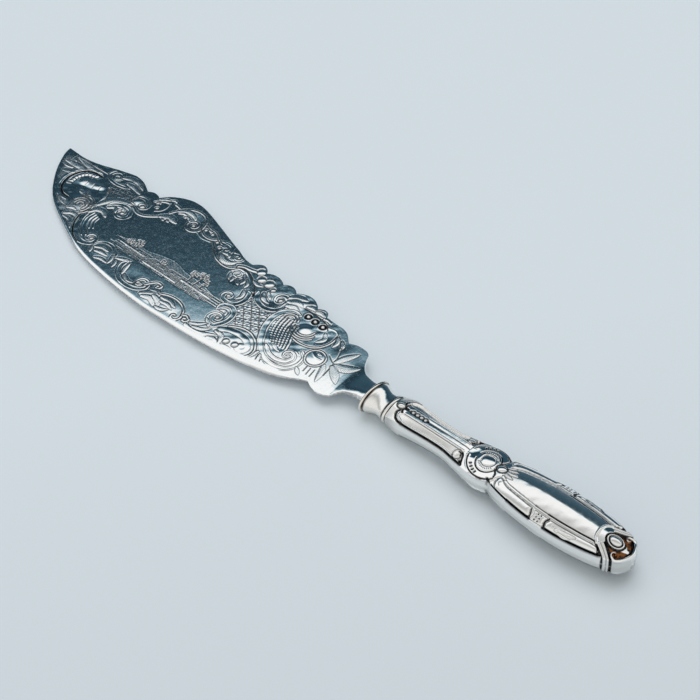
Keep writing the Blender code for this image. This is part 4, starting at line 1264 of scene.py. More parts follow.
    def landscape(self, work: Carving) -> None:
        """A plain lakeside: a low hatched range, water in level cuts, a group of trees and small bushes.

        Args:
            work: the face.
        """
        work.matt(np.array(WATER), amount=0.24, edge=1.8, seed=5)
        ridge = flowing(RIDGE)
        range_edge = np.concatenate([ridge, RANGE_FOOT])
        work.matt(range_edge, amount=0.18, edge=1.2, seed=9)
        work.hatch(range_edge, pitch=1.1, lean=-38.0, depth=0.02, stain=0.3)
        work.follow(Tool.WIRE, ridge, 0.2, rise=0.4)
        chance = np.random.default_rng(11)
        for level in np.arange(-7.4, -1.8, 0.62):
            start = chance.uniform(-141.0, -130.0)
            while start < -86.0:
                reach = chance.uniform(3.0, 12.0)
                cut = np.array([[start, level], [start + reach, level + chance.uniform(-0.12, 0.12)]])
                work.follow(Tool.LINE, cut, 0.18, rise=0.7, stain=0.7)
                start += reach + chance.uniform(0.6, 2.4)
        for strip in BRIGHT_WATER:
            work.follow(Tool.WIRE, np.array(strip), 0.32, rise=1.5)
        for trunk in TRUNKS:
            work.follow(Tool.LINE, np.array(trunk), 0.3, rise=0.8, stain=0.8)
        for centre, size in FOLIAGE:
            for _ in range(int(9 * size)):
                turn, far = chance.uniform(0.0, 6.3), size * math.sqrt(chance.uniform(0.0, 1.0))
                spot = np.array([centre[0] + far * math.cos(turn), centre[1] + 0.9 * far * math.sin(turn)])
                tuft = np.array([spot, spot + (chance.uniform(-0.5, 0.5), chance.uniform(0.4, 1.0))])
                work.follow(Tool.LEAF, tuft, 0.45, rise=2.4)

    def rings(self) -> tuple[Array, dict[str, Array]]:
        """Closed sections of the sheet along the axis.

        Each section goes over the upper face from spine to belly, down the edge, and back below. The
        upper face lies half a thickness up, falls off in the bevels, bows down towards the belly as
        the square of the distance, and carries the relief.

        Returns:
            The sections and the marks at their points.
        """
        tables = (SMALL_LOBE, LOBE_ROW, HEEL_SPINE[-1:], SHOULDER_BELLY[-1:])
        notches = np.array([row[0] for table in tables for row in table])
        even = np.linspace(-self.length + 0.06, self.inside, self.stations)
        x = np.unique(np.concatenate([even, -self.length * notches / 100.0]))[:, None]
        spine, belly = self.edges(x)
        spine = np.maximum(spine, belly + 0.05)
        span = spine - belly
        scale = np.minimum(1.0, span / 6.0)
        top_from, top_to = spine - 0.5 * scale, belly + 0.25 * scale
        y = np.concatenate([
            spine - np.array([0.0, 0.14, 0.3]) * scale,
            top_from + (top_to - top_from) * np.linspace(0.0, 1.0, self.rows),
            belly + np.array([0.12, 0.0]) * scale,
        ], axis=1)
        place = np.broadcast_to(x, y.shape)
        work = self.carve(place, y)
        lean_s = 1.0 / np.hypot(1.0, np.gradient(spine[:, 0], x[:, 0]))[:, None]
        lean_b = 1.0 / np.hypot(1.0, np.gradient(belly[:, 0], x[:, 0]))[:, None]
        from_spine, from_belly = (spine - y) * np.maximum(lean_s, 0.6), (y - belly) * lean_b
        share = -x / self.length
        fade = ease(share, 0.14, 0.2) * (1.0 - ease(share, 0.87, 0.94))
        thinner = 2.0 - ease(x, -105.0, -50.0) - 0.8 * ease(x, -165.0, -115.0) - 0.2
        wide = self.belly_bevel - self.point_thinner * thinner
        bevel = 2.0 * self.spine_bevel + (wide - 2.0 * self.spine_bevel) * fade
        clear = ease(from_spine, 0.7, 1.5) * ease(from_belly - bevel, -0.1, 0.5)
        clear = clear * (1.0 - ease(place, -10.5, -9.0))
        deep = 0.75 + 0.25 * ease(place, -150.0, -80.0)
        half = self.thickness / 2.0
        drop = self.thickness - self.spine_bevel - self.land
        height = half + (work.form + work.height) * clear * deep
        height += self.dent * (grain(0.4 * place, 0.4 * y, 29) - 0.5) * ease(place, -17.0, -11.0)
        height -= drop * np.clip(1.0 - from_spine / self.spine_bevel, 0.0, 1.0)
        height -= drop * (0.2 + 0.8 * fade) * np.clip(1.0 - from_belly / bevel, 0.0, 1.0) ** 3
        under = np.linspace(0.0, 1.0, 7)
        low_y = belly + self.spine_bevel * scale + (span - 2.0 * self.spine_bevel * scale) * under
        y = np.concatenate([y, belly, low_y, spine], axis=1)
        edge = np.full(x.shape, -half + self.spine_bevel)
        height = np.concatenate([height, edge, np.full(low_y.shape, -half), edge], axis=1)
        off = np.abs(2.0 * (y - belly) / span - 1.0)
        lift = np.clip(spline(NECK, x[:, 0]), 0.0, None) * (1.0 - ease(np.abs(y), 6.6, 9.4))
        lift = lift * (1.0 - 0.5 * off**4)
        height += np.where(np.arange(y.shape[1]) < place.shape[1], lift, -lift)
        whole = np.broadcast_to(x, y.shape)
        height -= self.sag(whole, y)
        blank = np.zeros((len(x), low_y.shape[1] + 2))
        marks = {
            label: np.concatenate([values * clear, blank], axis=1)
            for label, values in (("tarnish_and_shade", work.tarnish_and_shade), ("frost", work.frost), ("stain", work.stain))
        }
        marks["stain"][:, place.shape[1] - 1:place.shape[1] + 1] = 0.4
        return np.stack([whole, y, height], axis=-1), marks

    def sag(self, x: Array, y: Array) -> Array:
        """How far the sheet bows down: a rate times the square of the distance below a line."""
        places, rates, starts = np.array(self.bow).T
        return np.interp(x, places, rates) * np.clip(np.interp(x, places, starts) - y, 0.0, None) ** 2

    def build(self) -> list[Piece]:
        """Make and dress the sheet with its neck, in three lengths.

        Returns:
            The three pieces.
        """
        rings, marks = self.rings()
        first, last = (int(np.argmin(np.abs(rings[:, 0, 0] - cut))) for cut in self.cuts)
        finish = self.finish.material()
        pieces = []
        spans = (
            ("blade_point", 0, first), ("blade_panel", first, last), ("blade_heel", last, len(rings) - 1),
        )
        for name, start, end in spans:
            own = {label: values[start:end + 1] for label, values in marks.items()}
            sheet = skin(name, rings[start:end + 1], own)
            sheet.data.materials.append(finish)
            self.match_normals(sheet, rings, start, end)
            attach(sheet, "root")
            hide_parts("blade")
            pieces.append(sheet)
        return pieces

    def match_normals(self, sheet: Piece, rings: Array, start: int, end: int) -> None:
        """Shade the cut between two pieces of the sheet as if it were not there.

        The upper face's normals along the cut are crossed from differences over the whole sheet.

        Args:
            sheet: one piece of the sheet.
            rings: the whole sheet's sections.
            start: first section of the piece.
            end: last section of the piece.
        """
        around = rings.shape[1]
        points = Lay().place(rings)
        normals = np.cross(np.gradient(points, axis=1), np.gradient(points, axis=0))
        normals /= np.linalg.norm(normals, axis=-1)[..., None] + 1e-12
        normals *= np.sign(normals[..., 2:] + 1e-12)
        top = np.arange(6, self.rows)
        mesh = sheet.data
        corner = np.empty(len(mesh.loops), dtype=np.int32)
        mesh.loops.foreach_get("vertex_index", corner)
        shading = np.empty(len(mesh.loops) * 3, dtype=np.float32)
        mesh.corner_normals.foreach_get("vector", shading)
        shading = shading.reshape(-1, 3)
        sides = np.empty(len(mesh.polygons), dtype=np.int32)
        mesh.polygons.foreach_get("loop_total", sides)
        of_skin = np.repeat(sides == 4, sides)
        ring, spot = corner // around, corner % around
        for number, section in ((0, start), (end - start, end)):
            if section in (0, len(rings) - 1):
                continue
            chosen = of_skin & (ring == number) & np.isin(spot, top)
            shading[chosen] = normals[section, spot[chosen]]
        mesh.normals_split_custom_set(shading.tolist())


# Collar


@dataclass
class Collar:
    """Front rim plate, flared ferrule and bead ring between blade and handle."""

    rim_front: float = 1.0
    rim_thickness: float = 1.2
    rim_half: float = 8.4
    rim_flat: float = 10.0 / 16.8
    rim_seat: float = 7.0
    # Depth behind the rim's front and radius, from the opening for the neck outwards
    dish: Path = ((0.3, 4.3), (0.25, 6.6), (0.05, 7.3))
    start: float = 2.5
    length: float = 8.4
    flat: float = 0.64
    wall: float = 0.9
    # Share of the ferrule's length and radius
    curve: Path = (
        (0.0, 7.45), (0.09, 7.4), (0.26, 6.85), (0.43, 6.23), (0.6, 5.95), (0.78, 6.07), (1.0, 6.45),
    )
    ring_at: float = 11.95
    ring_wire: float = 0.75
    ring_half: float = 6.25
    ring_flat: float = 4.15 / 6.25
    wobble: float = 0.003
    rim_finish: Silver = Silver("rim_silver", (0.93, 0.89, 0.82), roughness=0.07, ripple=0.015)
    collar_finish: Silver = Silver("collar_silver", (0.91, 0.90, 0.88), roughness=0.09, ripple=0.025)
    ring_finish: Silver = Silver("ring_silver", (0.92, 0.90, 0.87), roughness=0.07, ripple=0.015)

    def rim_profile(self) -> Array:
        """Plate section: a rounded lip in front, a shallow dish inside it and a flat back.

        Returns:
            Closed rows of place and radius.
        """
        turn = np.linspace(-0.5 * math.pi, 0.5 * math.pi, 14)
        nose = self.rim_thickness / 2.0
        front = self.rim_front + nose + nose * np.sin(turn)
        lip = np.column_stack([front, self.rim_half - nose + nose * np.cos(turn)])
        dish = np.array(self.dish) + (self.rim_front, 0.0)
        back = self.rim_front + self.rim_thickness
        return np.concatenate([dish, lip, [(back, self.rim_seat), (back, self.dish[0][1])]])

    def collar_profile(self) -> Array:
        """Ferrule wall: outside along the flared curve, inside the same curve less the wall.

        Returns:
            Closed rows of place and radius.
        """
        share = np.linspace(0.0, 1.0, 60)
        radius = spline(self.curve, share)[:, 0]
        x = self.start + share * self.length
        outside = np.column_stack([x, radius])
        inside = np.column_stack([x, radius - self.wall])[::-1][::6]
        return np.concatenate([outside, inside])

    def ring_profile(self) -> Array:
        """Section of the round wire: a circle.

        Returns:
            Closed rows of place and radius.
        """
        turn = np.linspace(0.0, 2.0 * math.pi, 28, endpoint=False)
        circle = np.column_stack([np.cos(turn), np.sin(turn)])
        return np.array([self.ring_at, self.ring_half]) + self.ring_wire * circle

    def build(self) -> list[Piece]:
        """Make and dress the three pieces, black in the joints between them with patina and painted shade.

        Returns:
            The three pieces.
        """
        rim, ferrule, ring = self.rim_profile(), self.collar_profile(), self.ring_profile()
        # Black in the joints and round the neck's opening: patina and painted shade.
        rim_patina_and_shade = ease(-rim[:, 1], -6.9, -5.6)
        rim_patina_and_shade += hump((rim[:, 0] - self.rim_front - self.rim_thickness) / 0.3)
        ferrule_patina_and_shade = hump((ferrule[:, 0] - self.start) / 0.75)
        ferrule_patina_and_shade += hump((ferrule[:, 0] - self.start - self.length) / 0.5)
        ring_patina_and_shade = ease(np.abs(ring[:, 0] - self.ring_at), 0.45, self.ring_wire)
        pieces = []
        for name, node_name, profile, flat, tarnish_and_shade_amount, finish in (
            ("collar_front_rim", "collar_rim", rim, self.rim_flat, rim_patina_and_shade, self.rim_finish),
            ("collar_ferrule", "collar", ferrule, self.flat, ferrule_patina_and_shade, self.collar_finish),
            ("collar_bead_ring", "seam_ring", ring, self.ring_flat, ring_patina_and_shade, self.ring_finish),
        ):
            piece = turned(name, profile, flat, tarnish_and_shade_amount, wobble=self.wobble)
            dress(piece, finish)
            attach(piece, "root")
            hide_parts(node_name)
            pieces.append(piece)
        return pieces


# Handle


# Share of the length, half width over half the handle's width, crest and side band over half its depth
HANDLE_STATIONS = (
    (0, 0.58, 0.655, 0.31), (0.018, 0.598, 0.669, 0.375), (0.046, 0.616, 0.676, 0.43),
    (0.109, 0.58, 0.697, 0.38), (0.155, 0.543, 0.711, 0.352), (0.209, 0.521, 0.718, 0.332),
    (0.255, 0.539, 0.711, 0.332), (0.291, 0.603, 0.697, 0.345), (0.337, 0.685, 0.676, 0.38),
    (0.383, 0.744, 0.655, 0.401), (0.41, 0.74, 0.648, 0.408), (0.435, 0.685, 0.655, 0.437),
    (0.453, 0.626, 0.669, 0.465), (0.47, 0.685, 0.704, 0.458), (0.519, 0.813, 0.817, 0.437),
    (0.574, 0.904, 0.915, 0.413), (0.638, 0.973, 0.986, 0.394), (0.701, 1, 1, 0.39),
    (0.765, 0.986, 0.986, 0.401), (0.829, 0.922, 0.944, 0.43), (0.883, 0.831, 0.88, 0.451),
    (0.92, 0.735, 0.775, 0.451), (0.956, 0.607, 0.634, 0.444), (0.976, 0.484, 0.556, 0.437),
    (0.989, 0.338, 0.493, 0.43), (0.996, 0.201, 0.451, 0.423), (1, 0.1, 0.437, 0.416),
)

# Half width of the smooth spindle field along the axis
SPINDLE = (
    (65.5, 1.2), (69.6, 3.6), (73.7, 4.5), (78.7, 5.2), (83.6, 5.75), (93.7, 6), (103.7, 5.4), (109.2, 4.85),
    (112, 4.7),
)

# Closed fields of the handle on the side of positive Y: front shoulder, divider, shield of the butt
SHOULDER: Path = ((12.8, 1.7), (15.2, 2), (15.6, 4.4), (16.6, 5.8), (18.4, 6.4), (21, 6), (21, 8), (12.8, 8))
DIVIDER: Path = ((84.9, 7.2), (85.5, 8.4), (85, 10.4), (90.2, 10.4), (89.8, 8.6), (90.5, 7.3))
SHIELD: Path = (
    (111, 0), (111.2, 1.5), (112.2, 2.7), (113.8, 3.7), (115.4, 4.7), (116.6, 5.3), (117.6, 5.6),
    (119.2, 5.2), (120.6, 3.4), (121.4, 1.4), (121.6, 0), (116, -1.5),
)

# Strokes of the handle on the side of positive Y; the other side mirrors them
HANDLE_STROKES: tuple[Stroke, ...] = (
    # Back end of the channel, side panels
    line(0.24, (46.5, 3.2, 47.4, 3.3, 47.8, 4.2), rise=2.4),
    line(0.36, (47.7, 2.8, 48.5, 3.6, 49.1, 5, 49.7, 6.4), rise=2.8),
    line(0.5, (48.9, 5.9, 49.9, 6.9), rise=2.8),
    line(0.26, (84.5, 10.2, 84.2, 8.8, 83.5, 7.4), rise=2.2),
    line(0.38, (91.3, 7.2, 90.5, 8.6, 91, 10.3), rise=2.6),
    line(0.5, (112.8, 7.4, 114.2, 7.9), rise=2.6),
    leaf(0.75, (95.6, 8.9, 99.4, 8.8, 103.6, 7.8), rise=1.4, stain=0.5),
    leaf(0.5, (97, 9.6, 99.6, 9.7, 102, 9.2), rise=1.2, stain=0.5),
    leaf(0.4, (93.6, 8.2, 96.4, 8, 99, 7.6), stain=0.35),
    line(0.16, (67.4, 4.6, 66.9, 5.4, 67.6, 6.2), stain=0.5),
    # Shaft: hollow behind the front ball, rib with its bead groove
    line(0.7, (17.6, 0, 18.8, 0), rise=3),
    line(0.42, (17.5, 0, 17.3, 1.5, 17.9, 2.3), rise=2.4),
    line(0.6, (20.4, 0, 28.6, 0), rise=2.4),
    line(0.2, (28.4, 0, 36, 0, 48.6, 0), stain=0.8),
    line(0.1, (28, 1.66, 38, 1.62, 47.6, 1.7), rise=0.5, stain=0.5),
    line(0.16, (19.4, 2.42, 28, 2.4, 38, 2.4, 46, 2.45), rise=0.8, stain=0.7),
    # Waist
    leaf(0.7, (65.2, 0, 71.4, 0), rise=2, stain=0.7),
    leaf(0.65, (65, 0.9, 70.2, 1.9), rise=1.9, stain=0.7),
    leaf(0.6, (64.8, 1.8, 68.4, 3.3), rise=1.7, stain=0.7),
    # Strap over the butt
    line(0.45, (109.9, 5, 111.4, 5.9, 113, 6.75, 114.4, 7.6, 115.2, 8.1, 115.7, 8.9), rise=2.8),
    wire(0.6, (110.8, 4.5, 112.3, 5.3, 113.9, 6.2, 115.2, 7.1, 116.1, 7.7, 116.6, 8.5), rise=1.6),
    wire(0.6, (112.1, 3.7, 113.6, 4.6, 115.1, 5.6, 116.4, 6.5, 117.2, 7.2, 117.7, 8), rise=1.6),
    line(0.22, (111.4, 4.1, 113, 4.95, 114.5, 5.9, 115.8, 6.8, 116.7, 7.5, 117.2, 8.3), rise=0.6, stain=0.4),
    line(0.48, (112.5, 2.9, 114.2, 4, 115.8, 5.1, 117.3, 6.3, 118.1, 7, 118.6, 7.8), rise=3),
)


@dataclass
class Handle:
    """The two struck halves of the hollow handle."""

    start: float = 13.0
    length: float = 109.8
    half_width: float = 10.95
    half_depth: float = 7.1
    wall: float = 1.0
    seam: float = 0.004
    flare: float = 0.35
    dent: float = 0.1
    crown_power: float = 1.6
    stations: int = 500
    crown_points: int = 149
    ball: Point = (15.6, 0.0)
    bead_row: tuple[float, ...] = (21.5, 23.5, 25.5, 27.5)
    curl: Point = (46.4, 4.3)
    medallion: Point = (57.7, 0.0)
    # Radii of the medallion's discs, their rise, the power of their rounding and how level they lie
    discs: tuple[tuple[Point, float, float, float], ...] = (
        ((8.8, 8.8), 0.2, 0.25, 0.3), ((4.75, 5.3), 0.38, 0.3, 0.6), ((2.7, 2.6), 0.45, 0.5, 0.4),
    )
    dash_angles: tuple[float, ...] = (100.0, 112.0, 124.5, 137.0)
    knob: Point = (64.0, 0.0)
    divider_dots: Path = ((86.9, 7.7), (88.2, 7.7), (86.7, 8.8), (88.1, 8.8), (86.6, 9.8), (88.0, 9.8))
    cabochon: Point = (115.0, 0.0)
    drop_start: float = 117.6
    drop_length: float = 3.9
    drop_half: float = 2.3
    finish: Silver = Silver(
        "struck_silver", (0.945, 0.94, 0.93), roughness=0.035, ripple=0.035, matt=(0.89, 0.87, 0.84),
    )

    def sizes(self, x: Array) -> tuple[Array, Array, Array]:
        """Half width, crest height and side band height along the axis."""
        rows = spline(HANDLE_STATIONS, (x - self.start) / self.length)
        return rows[:, 0] * self.half_width, rows[:, 1] * self.half_depth, rows[:, 2] * self.half_depth

    def side(self, first: float, last: float, inset: float, count: int = 40) -> Array:
        """The line that runs along the side band at a distance inside it."""
        x = np.linspace(first, last, count)
        return np.column_stack([x, self.sizes(x)[0] - inset])

    def spindle(self, first: float, last: float, outset: float, count: int = 40) -> Array:
        """The line that runs along the smooth spindle field at a distance outside it."""
        x = np.linspace(first, last, count)
        return np.column_stack([x, spline(SPINDLE, x)[:, 0] + outset])

    def fall(self, work: Carving) -> Array:
        """How far the plain crown lies below its crest at every point."""
        half, crest, foot = (size[:, None] for size in self.sizes(work.x[:, 0]))
        return (crest - foot) * (work.y / half) ** self.crown_power

    def carve(self, x: Array, y: Array) -> Carving:
        """Work all the struck ornament of one half, on the distance from the middle line.

        Args:
            x: places along the axis.
            y: places across it.

        Returns:
            The relief.
        """
        work = Carving(x, np.abs(y), band_rise=0.2, leaf_rise=0.16, cut_depth=0.16)
        self.shaft(work)
        self.panels(work)
        for stroke in HANDLE_STROKES:
            work.work(stroke)
        self.bosses(work)
        self.butt(work)
        return work

    def shaft(self, work: Carving) -> None:
        """Sunk channel beside the rib: a black groove, a bright lip, a rounded front end, a curl behind.

        Args:
            work: the face.
        """
        nose = np.array([(16.4, 1.9), (15.9, 2.8), (16.2, 4.1), (17.1, 5.3), (18.6, 6.0)])
        groove = np.concatenate([nose, self.side(20.5, 49.8, 0.36)])
        inner = np.array([(17.7, 2.9), (17.6, 3.7), (18.3, 4.6), (19.6, 5.2)])
        lip = np.concatenate([inner, self.side(21.5, 48.8, 1.0)])
        floor = np.concatenate([lip, [(48.2, 2.4), (34.0, 2.4), (18.8, 2.4)]])
        work.sink(floor, depth=0.26, soft=0.5)
        work.matt(floor, amount=0.5, edge=0.4, seed=7)
        work.matt(np.array(SHOULDER), amount=0.9, edge=0.4, seed=8)
        tilt = 0.1 * (1.0 - ease(work.x, 30.0, 42.0)) * np.clip(0.9 - work.y, 0.0, None)
        rib = (self.fall(work) - tilt) * (1.0 - ease(work.y, 1.95, 2.3))
        work.height += rib * ease(work.x, 18.6, 20.5) * (1.0 - ease(work.x, 46.5, 49.0))
        work.follow(Tool.WIRE, lip, 0.38, rise=2.4)
        work.follow(Tool.LINE, groove, 0.45, rise=3.2)
        work.oval(self.curl, (1.55, 1.6), rise=0.34, ring=0.7, soft=0.6)
        work.follow(Tool.WIRE, arc(self.curl, (1.3, 1.35), 60.0, 330.0), 0.3, rise=1.8)

    def panels(self, work: Carving) -> None:
        """Cushioned side panels before and behind the divider, and the fillets of the spindle field.

        Args:
            work: the face.
        """
        nose = [(84.0, 9.7), (83.5, 8.6), (83.0, 7.7)]
        tail = [(66.0, 3.2), (65.3, 4.2), (65.3, 5.6), (66.0, 6.8)]
        band_edge, field_side = self.side(66.8, 83.4, 0.6, 30), self.spindle(66.8, 83.4, 1.4, 30)[::-1]
        front = np.concatenate([band_edge, nose, field_side, tail])
        nose = [(91.7, 7.8), (91.1, 8.7), (91.4, 9.8)]
        tail = [(112.6, 7.7), (112.0, 6.9)]
        band_edge, field_side = self.side(92.0, 111.5, 0.6, 30), self.spindle(92.0, 111.5, 1.4, 30)[::-1]
        for panel in (front, np.concatenate([nose, band_edge, tail, field_side])):
            work.pillow(panel, rise=0.45, soft=1.6, groove=0.16, stain=0.5)
        work.pillow(np.array(DIVIDER), rise=0.24, soft=0.6, groove=0.1, stain=0.2)
        for first, last, half in ((64.6, 74.0, 0.26), (73.4, 84.6, 0.46), (90.9, 114.0, 0.48)):
            work.follow(Tool.LINE, self.side(first, last, 0.34), half, rise=2.6)
        fillets = ((68.5, 84.0, 0.14, 0.6), (84.0, 90.0, 0.26, 0.8), (90.0, 109.6, 0.34, 1.0))
        for first, last, half, stain in fillets:
            work.follow(Tool.LINE, self.spindle(first, last, 0.0), half, rise=1.4, stain=stain)
        work.follow(Tool.LINE, self.spindle(69.0, 109.4, 0.85, 60), 0.13, rise=0.4, stain=0.5)
        spindle_edge = np.concatenate([[(66.0, -1.0)], self.spindle(66.0, 109.0, 0.0), [(109.0, -1.0)]])
        work.matt(spindle_edge, amount=0.34, edge=0.6, seed=3)
        dents = self.dent * (grain(0.55 * work.x, 0.8 * work.y, 41) - 0.5)
        work.height += dents * within(work.x, work.y, spindle_edge)
        for x, y in self.divider_dots:
            work.follow(Tool.LINE, np.array([(x, y), (x + 0.05, y + 0.06)]), 0.28, rise=3.4)

    def bosses(self, work: Carving) -> None:
        """Front ball, row of beads, medallion with its arcs and dashes, and the knob behind it.

        Args:
            work: the face.
        """
        work.oval(self.ball, (1.55, 1.3), rise=0.7, ring=0.9)
        for x in self.bead_row:
            work.oval((x, 0.0), (0.7, 0.7), rise=0.3, ring=0.9)
        level = self.fall(work)
        for radius, lift, power, flat in self.discs:
            u = work.apart(self.medallion, radius)
            work.height = np.where(u < 1.0, work.height * 0.25, work.height)
            work.height += lift * np.clip(1.0 - u * u, 0.0, None) ** power
            work.height += flat * level * (1.0 - ease(u, 0.86, 1.0))
            work.tarnish_and_shade = np.where(u < 1.0, 0.0, work.tarnish_and_shade)
        work.height -= 0.55 * hump((work.x - 50.4) / 4.2) * hump(work.y / 3.4)
        work.follow(Tool.LINE, arc(self.medallion, (8.2, 7.75), 42.0, 166.0), 0.27, rise=2.2)
        work.follow(Tool.WIRE, arc(self.medallion, (7.6, 7.15), 50.0, 166.0), 0.3)
        work.follow(Tool.LINE, flowing(((62.2, 6.2), (63.0, 6.6), (63.6, 7.2))), 0.5, rise=2.6)
        for angle in self.dash_angles:
            dash = spoke(self.medallion, (6.25, 6.75), math.radians(angle), 1.02)
            work.follow(Tool.LINE, dash, 0.34, rise=3.2)
        work.follow(Tool.LINE, arc(self.medallion, (4.7, 5.25), 5.0, 165.0), 0.22, rise=2.0)
        work.follow(Tool.WIRE, arc(self.medallion, (4.15, 4.65), 10.0, 165.0), 0.32, rise=1.2)
        for angle in np.radians(np.arange(36.0, 150.0, 12.0)):
            dash = spoke(self.medallion, (3.2, 3.7), angle, 1.05)
            work.follow(Tool.LINE, dash, 0.13, rise=1.2, stain=0.65)
        work.follow(Tool.LINE, arc(self.medallion, (2.8, 2.8), 0.0, 180.0), 0.16, rise=1.4, stain=0.6)
        x, y = self.medallion
        work.follow(Tool.WIRE, arc((x + 0.3, y), (1.6, 1.5), 0.0, 180.0), 0.3, rise=0.9)
        work.follow(Tool.LINE, np.array([(x + 4.2, 1.6), (x + 5.6, 3.2), (x + 6.0, 4.6)]), 0.3, rise=2.2)
        work.oval(self.knob, (2.0, 1.55), rise=0.75, ring=0.9)

    def butt(self, work: Carving) -> None:
        """Cuff, sunk stained shield with its horseshoe rim and volutes, ridged drop and oval cabochon.

        The drop is a roof whose half width falls to nothing along its length as a power of 0.8.

        Args:
            work: the face.
        """
        cuff = flowing(((108.0, -1.0), (108.2, 1.2), (108.7, 3.2), (110.2, 4.8)))
        work.follow(Tool.WIRE, cuff, 0.62, rise=1.8)
        outline = np.array(SHIELD)
        work.sink(outline, depth=0.6, soft=0.4)
        at = work.near(outline)
        x, y = work.x[at], work.y[at]
        gap, _, _ = nearest(x, y, outline[:-1])
        inside = within(x, y, outline)
        around = work.apart(self.cabochon, (3.25, 2.7))[at]
        work.darken(at, inside)
        work.stain[at] = inside * ease(gap, 0.45, 0.9) * ease(around, 1.1, 1.35)
        share = np.clip((x - self.drop_start) / self.drop_length, 0.0, 1.0)
        roof = np.clip(1.0 - y / (self.drop_half * (1.0 - share) ** 0.8 + 1e-4), 0.0, 1.0)
        roof = roof * (x > self.drop_start) * inside
        work.height[at] += 0.7 * roof
        work.tarnish_and_shade[at] = np.where(roof > 0.1, 0.0, work.tarnish_and_shade[at])
        work.stain[at] = np.where(roof > 0.1, 0.0, work.stain[at])
        rim = flowing(((122.2, -0.6), (122.0, 1.5), (121.1, 3.6), (119.9, 5.2), (118.6, 5.9), (117.4, 5.5)))
        work.follow(Tool.LINE, rim - 0.75, 0.34, rise=1.6)
        work.follow(Tool.WIRE, rim, 0.52, rise=2.2)
        work.follow(Tool.WIRE, curled(rim[-3:], (117.65, 4.35), 0.66, 0.5), 0.42, rise=2.6)
        work.oval(self.cabochon, (3.4, 2.7), rise=0.32, ring=1.0, soft=0.35)
        work.follow(Tool.LINE, arc(self.cabochon, (2.55, 2.0), 0.0, 180.0), 0.28, rise=2.6)
        u = work.apart(self.cabochon, (2.25, 1.7))
        work.height += 0.6 * np.sqrt(np.clip(1.0 - u * u, 0.0, None))

    def arch(self, x: Array, inset: float, crown: Array, rows: Array) -> tuple[Array, Array]:
        """Half sections: up one side band, over the crown and down the other.

        The crown's height falls from the crest to the band as the distance off the axis to a power.

        Args:
            x: places along the axis.
            inset: how far inside the outer face the section lies.
            crown: places across the crown from 1 to -1.
            rows: places up the side band, from 0 to below 1.

        Returns:
            Distances off the axis and heights.
        """
        half, crest, band_top = (size[:, None] for size in self.sizes(x))
        half = np.maximum(half - inset, half * 0.25)
        crest, band_top = np.maximum(crest - inset, 0.4), np.maximum(band_top - 0.6 * inset, 0.3)
        crest = np.maximum(crest, band_top + 0.05)
        across = half * crown
        height = band_top + (crest - band_top) * (1.0 - np.abs(crown) ** self.crown_power)
        foot = self.seam + (band_top - self.seam) * rows
        skirt = half + (0.0 if inset else self.flare) * (1.0 - rows)
        return (
            np.concatenate([skirt, across, -skirt[:, ::-1]], axis=1),
            np.concatenate([foot, height, foot[:, ::-1]], axis=1),
        )

    def rings(self) -> tuple[Array, dict[str, Array]]:
        """Closed sections of the upper half: over the outside with its relief, back along the inside.

        The relief stands along the outer face's normals and fades out down the side bands.

        Returns:
            The sections and the marks at their points.
        """
        t = np.linspace(0.0, 1.0, self.stations)
        x = self.start + self.length * (1.0 - (1.0 - t) ** 1.2)
        t = np.linspace(1.0, -1.0, self.crown_points)
        crown = 0.7 * t + 0.3 * np.sin(0.5 * math.pi * t)
        rows = np.linspace(0.0, 1.0, 8)[:-1]
        y, z = self.arch(x, 0.0, crown, rows)
        place = np.broadcast_to(x[:, None], y.shape)
        work = self.carve(place, y)
        outer = np.stack([place, y, z], axis=-1)
        along, over = np.gradient(outer, axis=0), np.gradient(outer, axis=1)
        normal = np.cross(over, along)
        normal /= np.linalg.norm(normal, axis=-1)[..., None] + 1e-12
        normal *= np.sign(np.einsum("ijk,ijk->ij", normal, outer * (0.0, 1.0, 1.0)))[..., None]
        strap = (ease(x, 114.4, 114.7) * (1.0 - ease(x, 118.8, 119.3)))[:, None]
        wall = strap * ease(rows, -0.2, 0.2) + (1.0 - strap) * ease(rows, 0.7, 1.0)
        # Painted shade on the side bands: the shade of the step beside the medallion, and darker front and
        # butt ends.
        band_shade = 0.6 * hump((x - 62.6) / 0.9)[:, None] * hump((rows - 0.6) / 0.5)
        band_shade = band_shade + (0.2 * ease(x, 116.8, 118.2) + 0.3 * (1.0 - ease(x, 14.0, 20.0)))[:, None]
        satin = np.broadcast_to(0.5 + 0.5 * (1.0 - rows), band_shade.shape)
        blank = np.zeros((len(x), self.crown_points))
        keep, painted_band_shade, wear = (
            np.concatenate([band_part, crown_part, band_part[:, ::-1]], axis=1)
            for band_part, crown_part in ((wall, blank + 1.0), (band_shade, blank), (satin, blank))
        )
        outer = outer + normal * (work.height * keep)[..., None]
        inner_y, inner_z = self.arch(x, self.wall, np.linspace(1.0, -1.0, 15), np.array([0.0]))
        inner_z = inner_z + (self.seam - inner_z) * ease(x, 117.0, 120.0)[:, None]
        inner = np.stack([np.broadcast_to(x[:, None], inner_y.shape), inner_y, inner_z], axis=-1)[:, ::-1]
        outside = {
            "tarnish_and_shade": work.tarnish_and_shade * keep + painted_band_shade,
            "frost": work.frost + wear,
            "stain": work.stain * keep,
        }
        clean = np.zeros(inner_y.shape)
        marks = {label: np.concatenate([values, clean], axis=1) for label, values in outside.items()}
        return np.concatenate([outer, inner], axis=1), marks

    def build(self) -> list[Piece]:
        """Make the upper half, mirror its sections for the lower one, and dress both.

        Returns:
            The two pieces.
        """
        rings, marks = self.rings()
        pieces = []
        halves = (("handle_upper", "handle_upper_shell", 1.0), ("handle_lower", "handle_lower_shell", -1.0))
        for name, node_name, sign in halves:
            piece = skin(name, rings * np.array([1.0, 1.0, sign]), marks, sharp=75.0)
            dress(piece, self.finish)
            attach(piece, "root")
            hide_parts(node_name)
            pieces.append(piece)
        return pieces


